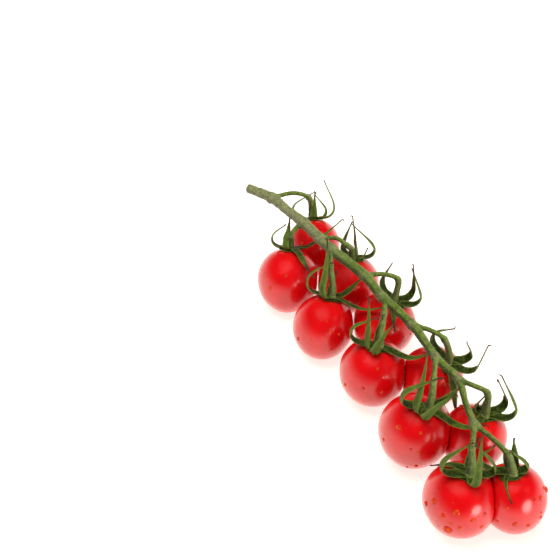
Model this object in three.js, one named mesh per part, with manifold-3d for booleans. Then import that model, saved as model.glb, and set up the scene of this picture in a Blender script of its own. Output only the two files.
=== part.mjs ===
// A truss of small plum tomatoes, picked whole and laid down: one green stem with a pedicel to each of
// eleven fruits, and on each pedicel a five-sepalled calyx that sits in the dimple of its fruit.
// Millimetres, +Z up. The stem runs from its cut end at -X to the last two fruits at +X, with one row of
// fruits on its -Y side and the other under it and on its +Y side. The fruits rest on the plane z = 0.
import * as THREE from "three";
import { mergeVertices } from "three/addons/utils/BufferGeometryUtils.js";
import Module from "manifold-3d";

const wasm = await Module();
wasm.setup();

const GAP = 0.3; // left between a piece and its neighbour
const SETTLE = 0.35; // how far a fruit's round underside is flattened where it rests
const PRESS_SOFTNESS = 0.6; // how gently a fruit is flattened where it presses on the next one
const DIMPLE = { depth: 2.2, radius: 4.2 }; // at the stem end of a fruit
const BLOSSOM_POINT = { height: 0.5, radius: 1.8 }; // at its other end
const SHOULDER = 0.03; // how much wider a fruit is above its middle than below, as a share of its radius
const LOBES = { count: 3, height: 0.012 }; // shallow waves round a fruit, as a share of its radius
const KNUCKLE = { radius: 1.7, reach: 2.2, place: 0.5 }; // the joint of a pedicel, where fruits snap off
// The radii of a pedicel from fork to calyx, and how far its thick ends reach.
const PEDICEL = { fork: 2.2, forkReach: 5, middle: 1.15, below: 1.5, end: 2.1, endReach: 9, straight: 6 };
const RECEPTACLE = { lift: 0.6, radius: 2.7, height: 2.6, waist: 1.2 }; // the boss that carries the sepals
const SEPAL = { start: 1.2, height: 1.3, width: 5.2, tip: 0.8, thickness: 0.9, fold: 0.9, droop: -12 };
const SEPAL_ROOT = { width: 0.75, length: 0.15 }; // a sepal widens from here, as shares of the whole
const SEPAL_TAPER = 1.4; // the power by which a sepal narrows towards its tip
const FULL_LENGTH = 18; // shorter sepals than this are narrower too
const BEND_START = 0.1; // how much of the way to the end of its bend a sepal stays straight
const CLEARANCE = 0.8; // between a sepal, seen as a row of balls, and the next thing

const STEM_SIDES = 9;
const STEM_RINGS = 3; // to each stretch between two of the stem's points
const PEDICEL_SIDES = 7;
const PEDICEL_RINGS = { above: 7, below: 6 }; // on each side of the knuckle
const FRUIT_SIDES = 20;
const SEPAL_STEPS = 36; // in the path that a sepal follows
const SEPAL_RINGS = [0, 5, 9, 12, 15, 18, 21, 25, 30, 36]; // the steps at which its skin has a ring
const LOOK_ROUND = 2; // steps to each side from which the direction of a sepal's path is taken
const BALL_STEPS = { stem: 110, above: 12, below: 10, end: 0.95 }; // along the stem and each pedicel
const WELD = 1e-3; // points nearer than this are one
const SEED = 11;

// The stem's middle line from the cut end to the last fork, as [x, y, z, diameter].
const STEM = [
  [-120, -23, 44, 4.8],
  [-106, -16, 45, 5.4],
  [-93, -14, 46, 4.8],
  [-80, -11, 46, 5.4],
  [-66, -9.5, 46, 5.2],
  [-55, -8, 46, 5.1],
  [-32, -3, 46, 4.9],
  [-16, -3, 46, 4.4],
  [6.5, -0.2, 46, 4.2],
  [27, -1, 45, 3.7],
  [42, 1, 44, 3.4],
  [53.5, -3, 43, 2.8],
  [64, -6, 42, 3.2],
];

// One row for each fruit, from the cut end to the tip. at is the middle of the fruit on the surface, lean
// and toward tip its stem end over, in degrees, and bend and knuckle are points on its pedicel. A sepal is
// [direction round the fruit's axis, length, how far up and back its tip is turned, the place along it
// where that turn is done, how much it leans sideways], in degrees, mm and shares of its length.
const FRUITS = [
  {
    at: [-89, 1], width: 29.5, length: 32, lean: 42, toward: 155,
    fork: 1, bend: [-102.5, -5, 46.5], knuckle: [-98.5, 2.5, 43.5],
    sepals: [
      [-118, 29, 152, 0.7, 0],
      [-28, 17, 85, 0.4, 0.1],
      [42, 20, 128, 0.65, 0],
      [50, 30, 112, 0.65, 0],
      [150, 15, 100, 0.5, 0],
    ],
  },
  {
    at: [-71.6, -24.3], width: 32.4, length: 35, lean: 33, toward: 145,
    fork: 3, bend: [-79.5, -15, 44.5], knuckle: [-79, -19, 41],
    sepals: [
      [72, 32, 42, 0.45, 0],
      [-10, 27, -30, 0.8, 0.1],
      [-60, 20, 120, 0.5, 0],
      [-130, 22, 140, 0.8, 0],
      [160, 20, 100, 0.5, 0],
    ],
  },
  {
    at: [-55.5, 3.2], width: 33, length: 32, lean: 19, toward: 131,
    fork: 4, bend: [-61, -2, 46.5], knuckle: [-57, 1.5, 43.5],
    sepals: [
      [57, 32, 142, 0.62, 0],
      [66, 26, 106, 0.12, -0.1],
      [35, 11, 75, 0.6, 0],
      [-160, 24, 105, 0.45, 0],
      [-30, 10, -30, 1, 0],
    ],
  },
  {
    at: [-34.4, -24], width: 31, length: 34, lean: 30, toward: 124,
    fork: 5, bend: [-52, -10.5, 45.5], knuckle: [-48, -13, 43],
    sepals: [
      [-122, 32, 140, 0.8, 0],
      [-70, 36, 116, 0.44, -0.6],
      [25, 33, 32, 0.8, 0],
      [88, 22, 50, 0.45, 0],
      [150, 16, 100, 0.5, 0],
    ],
  },
  {
    at: [-21.5, 4.5], width: 32, length: 33, lean: 14, toward: 83,
    fork: 6, bend: [-27, 5, 47.5], knuckle: [-22, 10, 46],
    sepals: [
      [85, 31, 112, 0.5, 0],
      [50, 34, 124, 0.6, 0],
      [-170, 25, 100, 0.65, 0],
      [-38, 16, -40, 1, 0.4],
      [20, 7, 85, 0.5, 0],
    ],
  },
  {
    at: [3, -17.5], width: 33, length: 35, lean: 10, toward: 116,
    fork: 7, bend: [-12, -4, 46.5], knuckle: [-7.5, -7, 45],
    sepals: [
      [-122, 33, 148, 0.82, 0],
      [-84, 29, 104, 0.4, -0.65],
      [-56, 28, 100, 0.5, 0.45],
      [30, 31, 50, 0.8, 0],
      [150, 18, 95, 0.5, 0],
    ],
  },
  {
    at: [18, 6.5], width: 30, length: 33, lean: 23, toward: 35,
    fork: 8, bend: [14, 4.5, 47.5], knuckle: [20.5, 8, 46],
    sepals: [
      [80, 30, 130, 0.58, 0],
      [42, 34, 105, 0.55, 0],
      [-160, 30, 115, 0.75, 0],
      [-15, 27, -50, 1, 0.4],
      [-40, 9, 80, 0.6, 0],
    ],
  },
  {
    at: [42, -19], width: 34, length: 37, lean: 13, toward: 60,
    fork: 9, bend: [32, -5, 46], knuckle: [37, -9, 45],
    sepals: [
      [-115, 38, 136, 0.7, 0],
      [-84, 35, 104, 0.4, -0.65],
      [-56, 29, 104, 0.5, 0.45],
      [90, 18, 55, 0.5, 0],
      [30, 28, 55, 0.9, 0],
    ],
  },
  {
    at: [56.7, 3.7], width: 30, length: 33, lean: 11, toward: 89,
    fork: 10, bend: [49, 4, 46], knuckle: [54.5, 7.5, 45],
    sepals: [
      [85, 34, 125, 0.5, 0],
      [50, 38, 127, 0.57, 0],
      [-150, 17, 105, 0.4, 0],
      [-65, 14, 25, 0.6, 0],
      [150, 11, 90, 0.5, 0],
    ],
  },
  {
    at: [80.9, -21.2], width: 33, length: 34, lean: 11, toward: 106,
    fork: 12, bend: [69, -10, 42.5], knuckle: [73.5, -14, 42],
    sepals: [
      [-26, 31, 118, 0.44, -0.05],
      [62, 30, 136, 0.57, 0],
      [-112, 34, 134, 0.75, 0],
      [-154, 18, -45, 0.9, 0],
      [150, 19, 80, 0.4, 0],
    ],
  },
  {
    at: [91, 0], width: 29.5, length: 33, lean: 14, toward: -168,
    fork: 12, bend: [74, -4, 43], knuckle: [83, -2.5, 42],
    sepals: [
      [66, 21, 130, 0.52, 0],
      [128, 19, 92, 0.25, 0],
      [175, 12, 80, 0.5, 0],
      [-90, 9, -50, 1, 2.4],
      [-130, 27, 132, 0.85, 0],
    ],
  },
];

const RED = { color: 0xcf1418, roughness: 0.25, metalness: 0 };
const LEAF_GREEN = { color: 0x5c7a34, roughness: 0.7, metalness: 0 };
const STEM_GREEN = { color: 0x6d8a48, roughness: 0.75, metalness: 0 };

const radians = THREE.MathUtils.degToRad;
const smooth = (x, low, high) => THREE.MathUtils.smoothstep(x, low, high);
const mix = THREE.MathUtils.lerp;

// A repeatable stream of numbers from 0 to 1.
function seeded(seed) {
  let state = seed >>> 0;
  return () => {
    state = (Math.imul(state, 1664525) + 1013904223) >>> 0;
    return state / 4294967296;
  };
}

// A closed skin over rings of points that all have the same count, with each end closed by a fan.
function loft(rings) {
  const sides = rings[0].length;
  const centre = (ring) => ring.reduce((sum, p) => sum.add(p), new THREE.Vector3()).divideScalar(sides);
  const points = [...rings.flat(), centre(rings[0]), centre(rings.at(-1))];
  const faces = [];
  for (let i = 0; i + 1 < rings.length; i++) {
    for (let j = 0; j < sides; j++) {
      const [a, b] = [i * sides + j, i * sides + ((j + 1) % sides)];
      faces.push(a, b, a + sides, b, b + sides, a + sides);
    }
  }
  const [first, last] = [points.length - 2, points.length - 1];
  const lastRing = (rings.length - 1) * sides;
  for (let j = 0; j < sides; j++) {
    const next = (j + 1) % sides;
    faces.push(first, next, j);
    faces.push(last, lastRing + j, lastRing + next);
  }
  return new THREE.BufferGeometry().setFromPoints(points).setIndex(faces);
}

// A round tube along a line, closed at both ends, with a ring at each place and its own radius there.
function tube(line, places, radiusAt, sides) {
  let across = new THREE.Vector3(0, 1, 0.2); // no line here starts along this direction
  const rings = places.map((place) => {
    const along = line.getTangent(place);
    across = across.clone().addScaledVector(along, -across.dot(along)).normalize();
    const up = along.clone().cross(across);
    const radius = radiusAt(place);
    return Array.from({ length: sides }, (_, j) => {
      const angle = (2 * Math.PI * j) / sides;
      return line
        .getPoint(place)
        .addScaledVector(across, radius * Math.cos(angle))
        .addScaledVector(up, radius * Math.sin(angle));
    });
  });
  return loft(rings);
}

const evenly = (from, to, steps) => Array.from({ length: steps + 1 }, (_, i) => mix(from, to, i / steps));

function solidOf(geometry) {
  const bare = geometry.clone();
  bare.deleteAttribute("normal");
  bare.deleteAttribute("uv");
  const merged = mergeVertices(bare, WELD);
  return new wasm.Manifold(
    new wasm.Mesh({
      numProp: 3,
      vertProperties: new Float32Array(merged.attributes.position.array),
      triVerts: new Uint32Array(merged.index.array),
    }),
  );
}

function geometryOf(solid) {
  const { vertProperties, triVerts } = solid.getMesh();
  return new THREE.BufferGeometry()
    .setAttribute("position", new THREE.BufferAttribute(vertProperties, 3))
    .setIndex(new THREE.BufferAttribute(triVerts, 1));
}

const joined = (geometries) => geometryOf(geometries.map(solidOf).reduce((a, b) => a.add(b)));

// Where a fruit sits: its middle, its axis towards the stem end, and two directions across it, the first
// of them as near as can be to +X. It rests on z = 0, with SETTLE of its underside flattened away.
function pose(fruit) {
  const [lean, toward] = [radians(fruit.lean), radians(fruit.toward)];
  const axis = new THREE.Vector3(
    Math.sin(lean) * Math.cos(toward),
    Math.sin(lean) * Math.sin(toward),
    Math.cos(lean),
  );
  const first = new THREE.Vector3(1, 0, 0).addScaledVector(axis, -axis.x).normalize();
  const second = axis.clone().cross(first);
  const height = reach(fruit, axis, new THREE.Vector3(0, 0, 1)) - SETTLE;
  return { middle: new THREE.Vector3(...fruit.at, height), axis, first, second };
}

// How far a fruit reaches from its middle in one direction.
function reach(fruit, axis, direction) {
  const along = axis.dot(direction);
  return Math.hypot((fruit.width / 2) * Math.sqrt(1 - along * along), (fruit.length / 2) * along);
}

const poses = FRUITS.map(pose);

// The outline of a fruit from its stem end to its blossom end, as [radius, height] at each angle.
const OUTLINE_ANGLES = [0, 9, 17, 27, 40, 55, 72, 90, 108, 126, 144, 163, 180].map(radians);

function outline(fruit) {
  return OUTLINE_ANGLES.map((angle) => {
    const radius = (fruit.width / 2) * Math.sin(angle) * (1 + SHOULDER * Math.cos(angle));
    const dent = DIMPLE.depth * Math.exp(-((radius / DIMPLE.radius) ** 2));
    const point = BLOSSOM_POINT.height * Math.exp(-((radius / BLOSSOM_POINT.radius) ** 2));
    const height = (fruit.length / 2) * Math.cos(angle) - (angle < Math.PI / 2 ? dent : point);
    return [angle === Math.PI ? 0 : radius, height];
  });
}

// Every plane on which a fruit presses against another, as a direction and a distance from its middle.
function contacts(index) {
  const own = poses[index];
  const found = [];
  FRUITS.forEach((other, j) => {
    if (j === index) return;
    const toOther = poses[j].middle.clone().sub(own.middle);
    const distance = toOther.length();
    const direction = toOther.divideScalar(distance);
    const mine = reach(FRUITS[index], own.axis, direction);
    const theirs = reach(other, poses[j].axis, direction);
    if (mine + theirs + GAP > distance) {
      found.push({ direction, limit: (distance * mine) / (mine + theirs) - GAP / 2 });
    }
  });
  return found;
}

function fruitGeometry(index) {
  const fruit = FRUITS[index];
  const { middle, axis, first, second } = poses[index];
  const profile = outline(fruit).map(([radius, height]) => new THREE.Vector2(radius, height));
  const lathe = new THREE.LatheGeometry(profile.reverse(), FRUIT_SIDES);
  const phase = seeded(SEED + index)() * 2 * Math.PI;
  const planes = contacts(index);
  const positions = lathe.attributes.position;
  const point = new THREE.Vector3();
  for (let i = 0; i < positions.count; i++) {
    point.fromBufferAttribute(positions, i);
    const angle = Math.atan2(point.x, point.z);
    const swell = 1 + LOBES.height * Math.cos(LOBES.count * angle + phase);
    const offset = new THREE.Vector3()
      .addScaledVector(first, point.z * swell)
      .addScaledVector(second, point.x * swell)
      .addScaledVector(axis, point.y);
    for (const { direction, limit } of planes) {
      const past = offset.dot(direction);
      const pressed = limit - PRESS_SOFTNESS * Math.log1p(Math.exp((limit - past) / PRESS_SOFTNESS));
      offset.addScaledVector(direction, pressed - past);
    }
    positions.setXYZ(i, ...offset.add(middle));
  }
  return geometryOf(solidOf(lathe).trimByPlane([0, 0, 1], 0));
}

const stemPoints = STEM.map(([x, y, z]) => new THREE.Vector3(x, y, z));
const stemLine = new THREE.CatmullRomCurve3(stemPoints, false, "catmullrom", 0.5);

function stemRadius(place) {
  const position = place * (STEM.length - 1);
  const before = Math.min(Math.floor(position), STEM.length - 2);
  return mix(STEM[before][3], STEM[before + 1][3], smooth(position - before, 0, 1)) / 2;
}

// The underside of the boss, in a fruit's dimple, or a point that is further up along the fruit's axis.
function seat(index, up = 0) {
  const { middle, axis } = poses[index];
  const height = FRUITS[index].length / 2 - DIMPLE.depth + RECEPTACLE.lift + up;
  return middle.clone().addScaledVector(axis, height);
}

// A pedicel meets its fruit half way between the fruit's axis and the way down from the knuckle.
const pedicelLines = FRUITS.map(({ fork, bend, knuckle }, index) => {
  const [turn, joint] = [new THREE.Vector3(...bend), new THREE.Vector3(...knuckle)];
  const end = seat(index, 1);
  const above = joint.clone().sub(end).normalize().add(poses[index].axis).setLength(PEDICEL.straight);
  const points = [stemPoints[fork], turn, joint, above.add(end), end];
  return new THREE.CatmullRomCurve3(points, false, "catmullrom", 0.5);
});

// A pedicel is thick at the fork, thin in the middle, swollen at the knuckle and thick at the calyx.
function pedicelRadius(line, place) {
  const point = line.getPoint(place);
  const closeness = (other, within) => 1 - smooth(point.distanceTo(line.getPoint(other)), 0, within);
  const plain = place < KNUCKLE.place ? PEDICEL.middle : PEDICEL.below;
  return (
    plain +
    (PEDICEL.fork - plain) * closeness(0, PEDICEL.forkReach) +
    (KNUCKLE.radius - plain) * closeness(KNUCKLE.place, KNUCKLE.reach) +
    (PEDICEL.end - plain) * closeness(1, PEDICEL.endReach)
  );
}

// A pedicel is in two pieces that all but meet at the knuckle, where a ripe fruit snaps off.
function pedicelHalf(line, side) {
  const nearby = 0.01; // a short way along the line
  const stretch = line.getPoint(KNUCKLE.place).distanceTo(line.getPoint(KNUCKLE.place + nearby));
  const short = (nearby * GAP) / 2 / stretch;
  const places = {
    above: evenly(0, KNUCKLE.place - short, PEDICEL_RINGS.above),
    below: evenly(KNUCKLE.place + short, 1, PEDICEL_RINGS.below),
  };
  return tube(line, places[side], (place) => pedicelRadius(line, place), PEDICEL_SIDES);
}

// Balls strung along every stem and along every sepal so far, which a new sepal is bent clear of. A calyx
// owns the balls along its own sepals and its own half of the pedicel, and its sepals pass them by.
const ballsAlong = (line, places, radiusAt, owner) =>
  places.map((place) => ({ centre: line.getPoint(place), radius: radiusAt(place), owner }));
const balls = [
  ...ballsAlong(stemLine, evenly(0, 1, BALL_STEPS.stem), stemRadius),
  ...pedicelLines.flatMap((line, index) => {
    const radiusAt = (place) => pedicelRadius(line, place);
    return [
      ...ballsAlong(line, evenly(0, KNUCKLE.place, BALL_STEPS.above), radiusAt),
      ...ballsAlong(line, evenly(KNUCKLE.place, BALL_STEPS.end, BALL_STEPS.below), radiusAt, index),
    ];
  }),
];
const ballRadius = (sepalWidthThere) => sepalWidthThere / 3;

// Moves a point of a sepal out of the fruits, and off the stems and the sepals of other calyces.
function bendClear(point, index, radius) {
  poses.forEach(({ middle, axis }, j) => {
    const offset = point.clone().sub(middle);
    const along = offset.dot(axis);
    const across = Math.sqrt(Math.max(0, offset.lengthSq() - along * along));
    const sunk = along > 0 ? DIMPLE.depth * Math.exp(-((across / DIMPLE.radius) ** 2)) : 0;
    const clearance = CLEARANCE + (j === index ? SEPAL.thickness / 2 : radius);
    const inside = Math.hypot(
      across / (FRUITS[j].width / 2 + clearance),
      (along + sunk) / (FRUITS[j].length / 2 + clearance),
    );
    if (inside < 1) {
      point.copy(offset.addScaledVector(axis, sunk).divideScalar(inside));
      point.add(middle).addScaledVector(axis, -sunk);
    }
  });
  for (const ball of balls) {
    const away = point.clone().sub(ball.centre);
    const short = ball.radius + CLEARANCE + radius - away.length();
    if (short > 0 && ball.owner !== index) {
      point.addScaledVector(away.normalize(), short);
    }
  }
}

// The width of a sepal at a place along it, from 0 at the root to 1 at its thread of a tip.
function sepalWidth(length, place) {
  const full = SEPAL.width * Math.min(1, length / FULL_LENGTH);
  const root = mix(SEPAL_ROOT.width, 1, smooth(place, 0, SEPAL_ROOT.length));
  return Math.max(SEPAL.tip, full * root * (1 - place ** SEPAL_TAPER));
}

// The path of a sepal. It leaves the boss along the fruit's shoulder, and then curls up and back.
function sepalPath(index, [direction, length, curl, bent, sway]) {
  const { axis, first, second } = poses[index];
  const angle = radians(direction);
  const outward = first.clone().multiplyScalar(Math.cos(angle)).addScaledVector(second, Math.sin(angle));
  const side = axis.clone().cross(outward);
  const point = seat(index, SEPAL.height).addScaledVector(outward, SEPAL.start);
  const path = [point.clone()];
  for (let i = 1; i <= SEPAL_STEPS; i++) {
    const place = i / SEPAL_STEPS;
    const heading = radians(mix(SEPAL.droop, curl, smooth(place, BEND_START * bent, bent)));
    point
      .addScaledVector(outward, (length / SEPAL_STEPS) * Math.cos(heading))
      .addScaledVector(axis, (length / SEPAL_STEPS) * Math.sin(heading))
      .addScaledVector(side, (length / SEPAL_STEPS) * sway * place);
    bendClear(point, index, ballRadius(sepalWidth(length, place)));
    path.push(point.clone());
  }
  return { path, side, length };
}

// A sepal is a thin blade that is folded a little along its middle, with its edges up.
function sepalGeometry({ path, side, length }) {
  const rings = SEPAL_RINGS.map((i) => {
    const place = i / SEPAL_STEPS;
    const [before, after] = [Math.max(i - LOOK_ROUND, 0), Math.min(i + LOOK_ROUND, SEPAL_STEPS)];
    const along = path[after].clone().sub(path[before]).normalize();
    const across = side.clone().addScaledVector(along, -side.dot(along)).normalize();
    const upper = along.clone().cross(across);
    const half = sepalWidth(length, place) / 2;
    const thick = mix(SEPAL.thickness, SEPAL.tip, place) / 2;
    const fold = (SEPAL.fold * half) / (SEPAL.width / 2);
    return [
      path[i].clone().addScaledVector(across, -half).addScaledVector(upper, fold),
      path[i].clone().addScaledVector(upper, -thick),
      path[i].clone().addScaledVector(across, half).addScaledVector(upper, fold),
      path[i].clone().addScaledVector(upper, thick),
    ];
  });
  return loft(rings);
}

function calyxGeometry(index) {
  const { axis, first, second } = poses[index];
  const boss = new THREE.LatheGeometry(
    [
      [0, 0],
      [RECEPTACLE.radius * 0.6, 0.1],
      [RECEPTACLE.radius, RECEPTACLE.waist],
      [RECEPTACLE.radius * 0.7, RECEPTACLE.height],
      [0, RECEPTACLE.height],
    ].map(([radius, height]) => new THREE.Vector2(radius, height)),
    PEDICEL_SIDES,
  );
  boss.applyMatrix4(new THREE.Matrix4().makeBasis(second, axis, first).setPosition(seat(index)));
  const stalk = pedicelHalf(pedicelLines[index], "below");
  const paths = FRUITS[index].sepals.map((sepal) => sepalPath(index, sepal));
  for (const { path, length } of paths) {
    path.forEach((centre, i) => {
      balls.push({ centre, radius: ballRadius(sepalWidth(length, i / SEPAL_STEPS)), owner: index });
    });
  }
  return joined([stalk, boss, ...paths.map(sepalGeometry)]);
}

function stemGeometry() {
  const stem = tube(stemLine, evenly(0, 1, (STEM.length - 1) * STEM_RINGS), stemRadius, STEM_SIDES);
  return joined([stem, ...pedicelLines.map((line) => pedicelHalf(line, "above"))]);
}

const truss = new THREE.Group();

function addPiece(name, geometry, look) {
  const piece = new THREE.Mesh(geometry, new THREE.MeshStandardMaterial(look));
  piece.name = name;
  truss.add(piece);
}

addPiece("stem", stemGeometry(), STEM_GREEN);
FRUITS.forEach((_, index) => {
  const number = String(index + 1).padStart(2, "0");
  addPiece(`tomato_${number}`, fruitGeometry(index), RED);
  addPiece(`calyx_${number}`, calyxGeometry(index), LEAF_GREEN);
});

// The origin is under the middle of the whole truss, on the surface that it rests on.
const box = new THREE.Box3().setFromObject(truss);
const middle = box.getCenter(new THREE.Vector3());
truss.position.set(-middle.x, -middle.y, 0);

export default truss;
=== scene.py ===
"""A truss of small plum tomatoes, laid down on a pale studio floor.

The green stem, the calyces and the fruits are grown by the same rules and from the same driving sizes as
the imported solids, with finer meshes and with the finish of each surface: glossy skin, haired stem, folded
sepals with dry tips, and drops of water. Lengths are in millimetres until a mesh is made, in metres.
"""

import logging
import math
from dataclasses import dataclass, field
from enum import Enum

import bpy
import numpy as np
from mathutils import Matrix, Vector
from mathutils.kdtree import KDTree


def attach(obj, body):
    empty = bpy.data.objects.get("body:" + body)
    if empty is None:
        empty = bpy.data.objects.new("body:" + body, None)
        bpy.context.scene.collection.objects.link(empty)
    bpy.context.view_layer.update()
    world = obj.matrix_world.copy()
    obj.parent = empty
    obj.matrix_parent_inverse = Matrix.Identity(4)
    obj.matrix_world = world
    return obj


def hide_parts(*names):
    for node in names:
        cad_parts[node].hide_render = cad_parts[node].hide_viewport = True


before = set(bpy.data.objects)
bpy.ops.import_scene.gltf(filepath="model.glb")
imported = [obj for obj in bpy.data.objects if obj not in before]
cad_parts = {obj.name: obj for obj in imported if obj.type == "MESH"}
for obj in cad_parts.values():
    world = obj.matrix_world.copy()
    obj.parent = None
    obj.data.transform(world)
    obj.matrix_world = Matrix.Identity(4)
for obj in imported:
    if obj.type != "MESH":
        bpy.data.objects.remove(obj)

Array = np.ndarray
Colour = tuple[float, float, float, float]
Span = tuple[float, float]

MM = 0.001
LOG = logging.getLogger("truss")
SEED = 11
UP = np.array((0.0, 0.0, 1.0))

# From the stem's own coordinates to the part's, whose origin is under the middle of the whole truss.
SHIFT = np.array((7.6822, 9.2177, 0.0))
# The direction of the light painted into the stems' green: the side turned to it is painted lighter, and the
# side turned away painted darker.
PAINTED_LIGHT_FROM = np.array((0.45, 0.65, 0.61))
# The side that the free part of a sepal turns its face to.
FACES_TO = np.array((0.6, -0.35, 0.72))

# The gap between two parts that are grown together or press on each other, and how deep a fruit's
# underside is flattened on the floor.
GAP = 0.3
SETTLE = 0.35
# How gently a fruit's side goes over into the flat where it presses on another.
PRESS_SOFTNESS = 0.35
# The shape of a fruit: its dimple, its small point, its fuller shoulder and its soft lobes.
DIMPLE_DEPTH, DIMPLE_RADIUS = 2.2, 4.2
POINT_HEIGHT, POINT_RADIUS = 0.5, 1.8
SHOULDER = 0.03
LOBE_COUNT, LOBE_HEIGHT = 3, 0.012
# The knuckle of a pedicel, and its place along the pedicel.
KNUCKLE_RADIUS, KNUCKLE_REACH, KNUCKLE_PLACE = 1.7, 2.2, 0.5
# How far a sepal stays away from whatever it passes, and the owner of a ball that all sepals pass.
CLEARANCE = 0.8
NOBODY = -1


class Slot(Enum):
    """The record's material slots."""

    SKIN = "tomato_skin"
    STEM = "stem_green"
    SEPAL = "sepal_green"


def unit(vector: Array) -> Array:
    """A vector, or each row of several, at length one."""
    return vector / np.linalg.norm(vector, axis=-1, keepdims=True)


def smooth(x: Array | float, low: float, high: float) -> Array:
    """A smooth step from 0 at low to 1 at high."""
    t = np.clip((np.asarray(x, float) - low) / (high - low), 0.0, 1.0)
    return t * t * (3 - 2 * t)


def bell(x: Array | float, width: float) -> Array:
    """A smooth hump of height 1 at 0, which has nearly died away at twice its width."""
    return np.exp(-((np.asarray(x, float) / width) ** 2))


def mix(a: Array | float, b: Array | float, share: Array | float) -> Array:
    """The value a share of the way from a to b."""
    return a + (b - a) * share


def turns(count: int) -> Array:
    """Angles in equal steps once round, without the last, which is the first again."""
    return np.linspace(0, 2 * math.pi, count, endpoint=False)


def round_of(first: Array, second: Array, angles: Array) -> Array:
    """The directions at some angles from the first direction towards the second, a row for each."""
    return np.outer(np.cos(angles), first) + np.outer(np.sin(angles), second)


def dimple(radius: Array | float) -> Array:
    """How deep a fruit's dimple is at a distance from its axis."""
    return DIMPLE_DEPTH * bell(radius, DIMPLE_RADIUS)


def first_draw(seed: int) -> float:
    """The first number from 0 to 1 of the repeatable stream that the solids use."""
    return ((seed * 1664525 + 1013904223) % 2**32) / 2**32


@dataclass(frozen=True)
class SmoothLine:
    """A smooth line through points, with equal steps of its place between them."""

    points: Array

    def at(self, place: Array | float) -> Array:
        """Finds the line at one place or at several.

        Args:
            place: a place from 0 to 1, or an array of them.

        Returns:
            The point there, or a row for each place.
        """
        p = self.points
        padded = np.vstack([2 * p[0] - p[1], p, 2 * p[-1] - p[-2]])
        position = np.atleast_1d(np.asarray(place, float)) * (len(p) - 1)
        i = np.minimum(position.astype(int), len(p) - 2)
        t = (position - i)[:, None]
        a, b, c, d = padded[i], padded[i + 1], padded[i + 2], padded[i + 3]
        start, end = (c - a) / 2, (d - b) / 2
        found = b + start * t + (3 * (c - b) - 2 * start - end) * t**2 + (2 * (b - c) + start + end) * t**3
        return found if np.ndim(place) else found[0]

    def direction(self, place: Array | float) -> Array:
        """The direction of the line at a place, or a row for each of several places."""
        near = 1e-4
        return unit(self.at(np.minimum(place + near, 1)) - self.at(np.maximum(place - near, 0)))


@dataclass(frozen=True)
class SepalPlan:
    """How one sepal grows.

    Its direction round the fruit's axis and its curl are in degrees. It has its full curl at the place
    `bent`, from 0 at the root to 1 at the tip, and drifts sideways by `sway`.
    """

    direction: float
    length: float
    curl: float
    bent: float
    sway: float


@dataclass(frozen=True)
class FruitPlan:
    """Where one fruit lies, how its pedicel runs to it, and its five sepals.

    The fruit leans by `lean` degrees to the side `toward`. Its pedicel leaves the stem at the point of
    that number and runs over the bend to the knuckle.
    """

    at: tuple[float, float]
    width: float
    length: float
    lean: float
    toward: float
    fork: int
    bend: tuple[float, float, float]
    knuckle: tuple[float, float, float]
    sepals: tuple[tuple[float, ...], ...]

    def sepal_plans(self) -> list[SepalPlan]:
        """The plans of the fruit's sepals."""
        return [SepalPlan(*numbers) for numbers in self.sepals]


# The stem's middle line from the cut end to the last fork, as x, y, z and diameter.
STEM = np.array((
    (-120, -23, 44, 4.8), (-106, -16, 45, 5.4), (-93, -14, 46, 4.8), (-80, -11, 46, 5.4),
    (-66, -9.5, 46, 5.2), (-55, -8, 46, 5.1), (-32, -3, 46, 4.9), (-16, -3, 46, 4.4),
    (6.5, -0.2, 46, 4.2), (27, -1, 45, 3.7), (42, 1, 44, 3.4), (53.5, -3, 43, 2.8), (64, -6, 42, 3.2),
), float)

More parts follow.
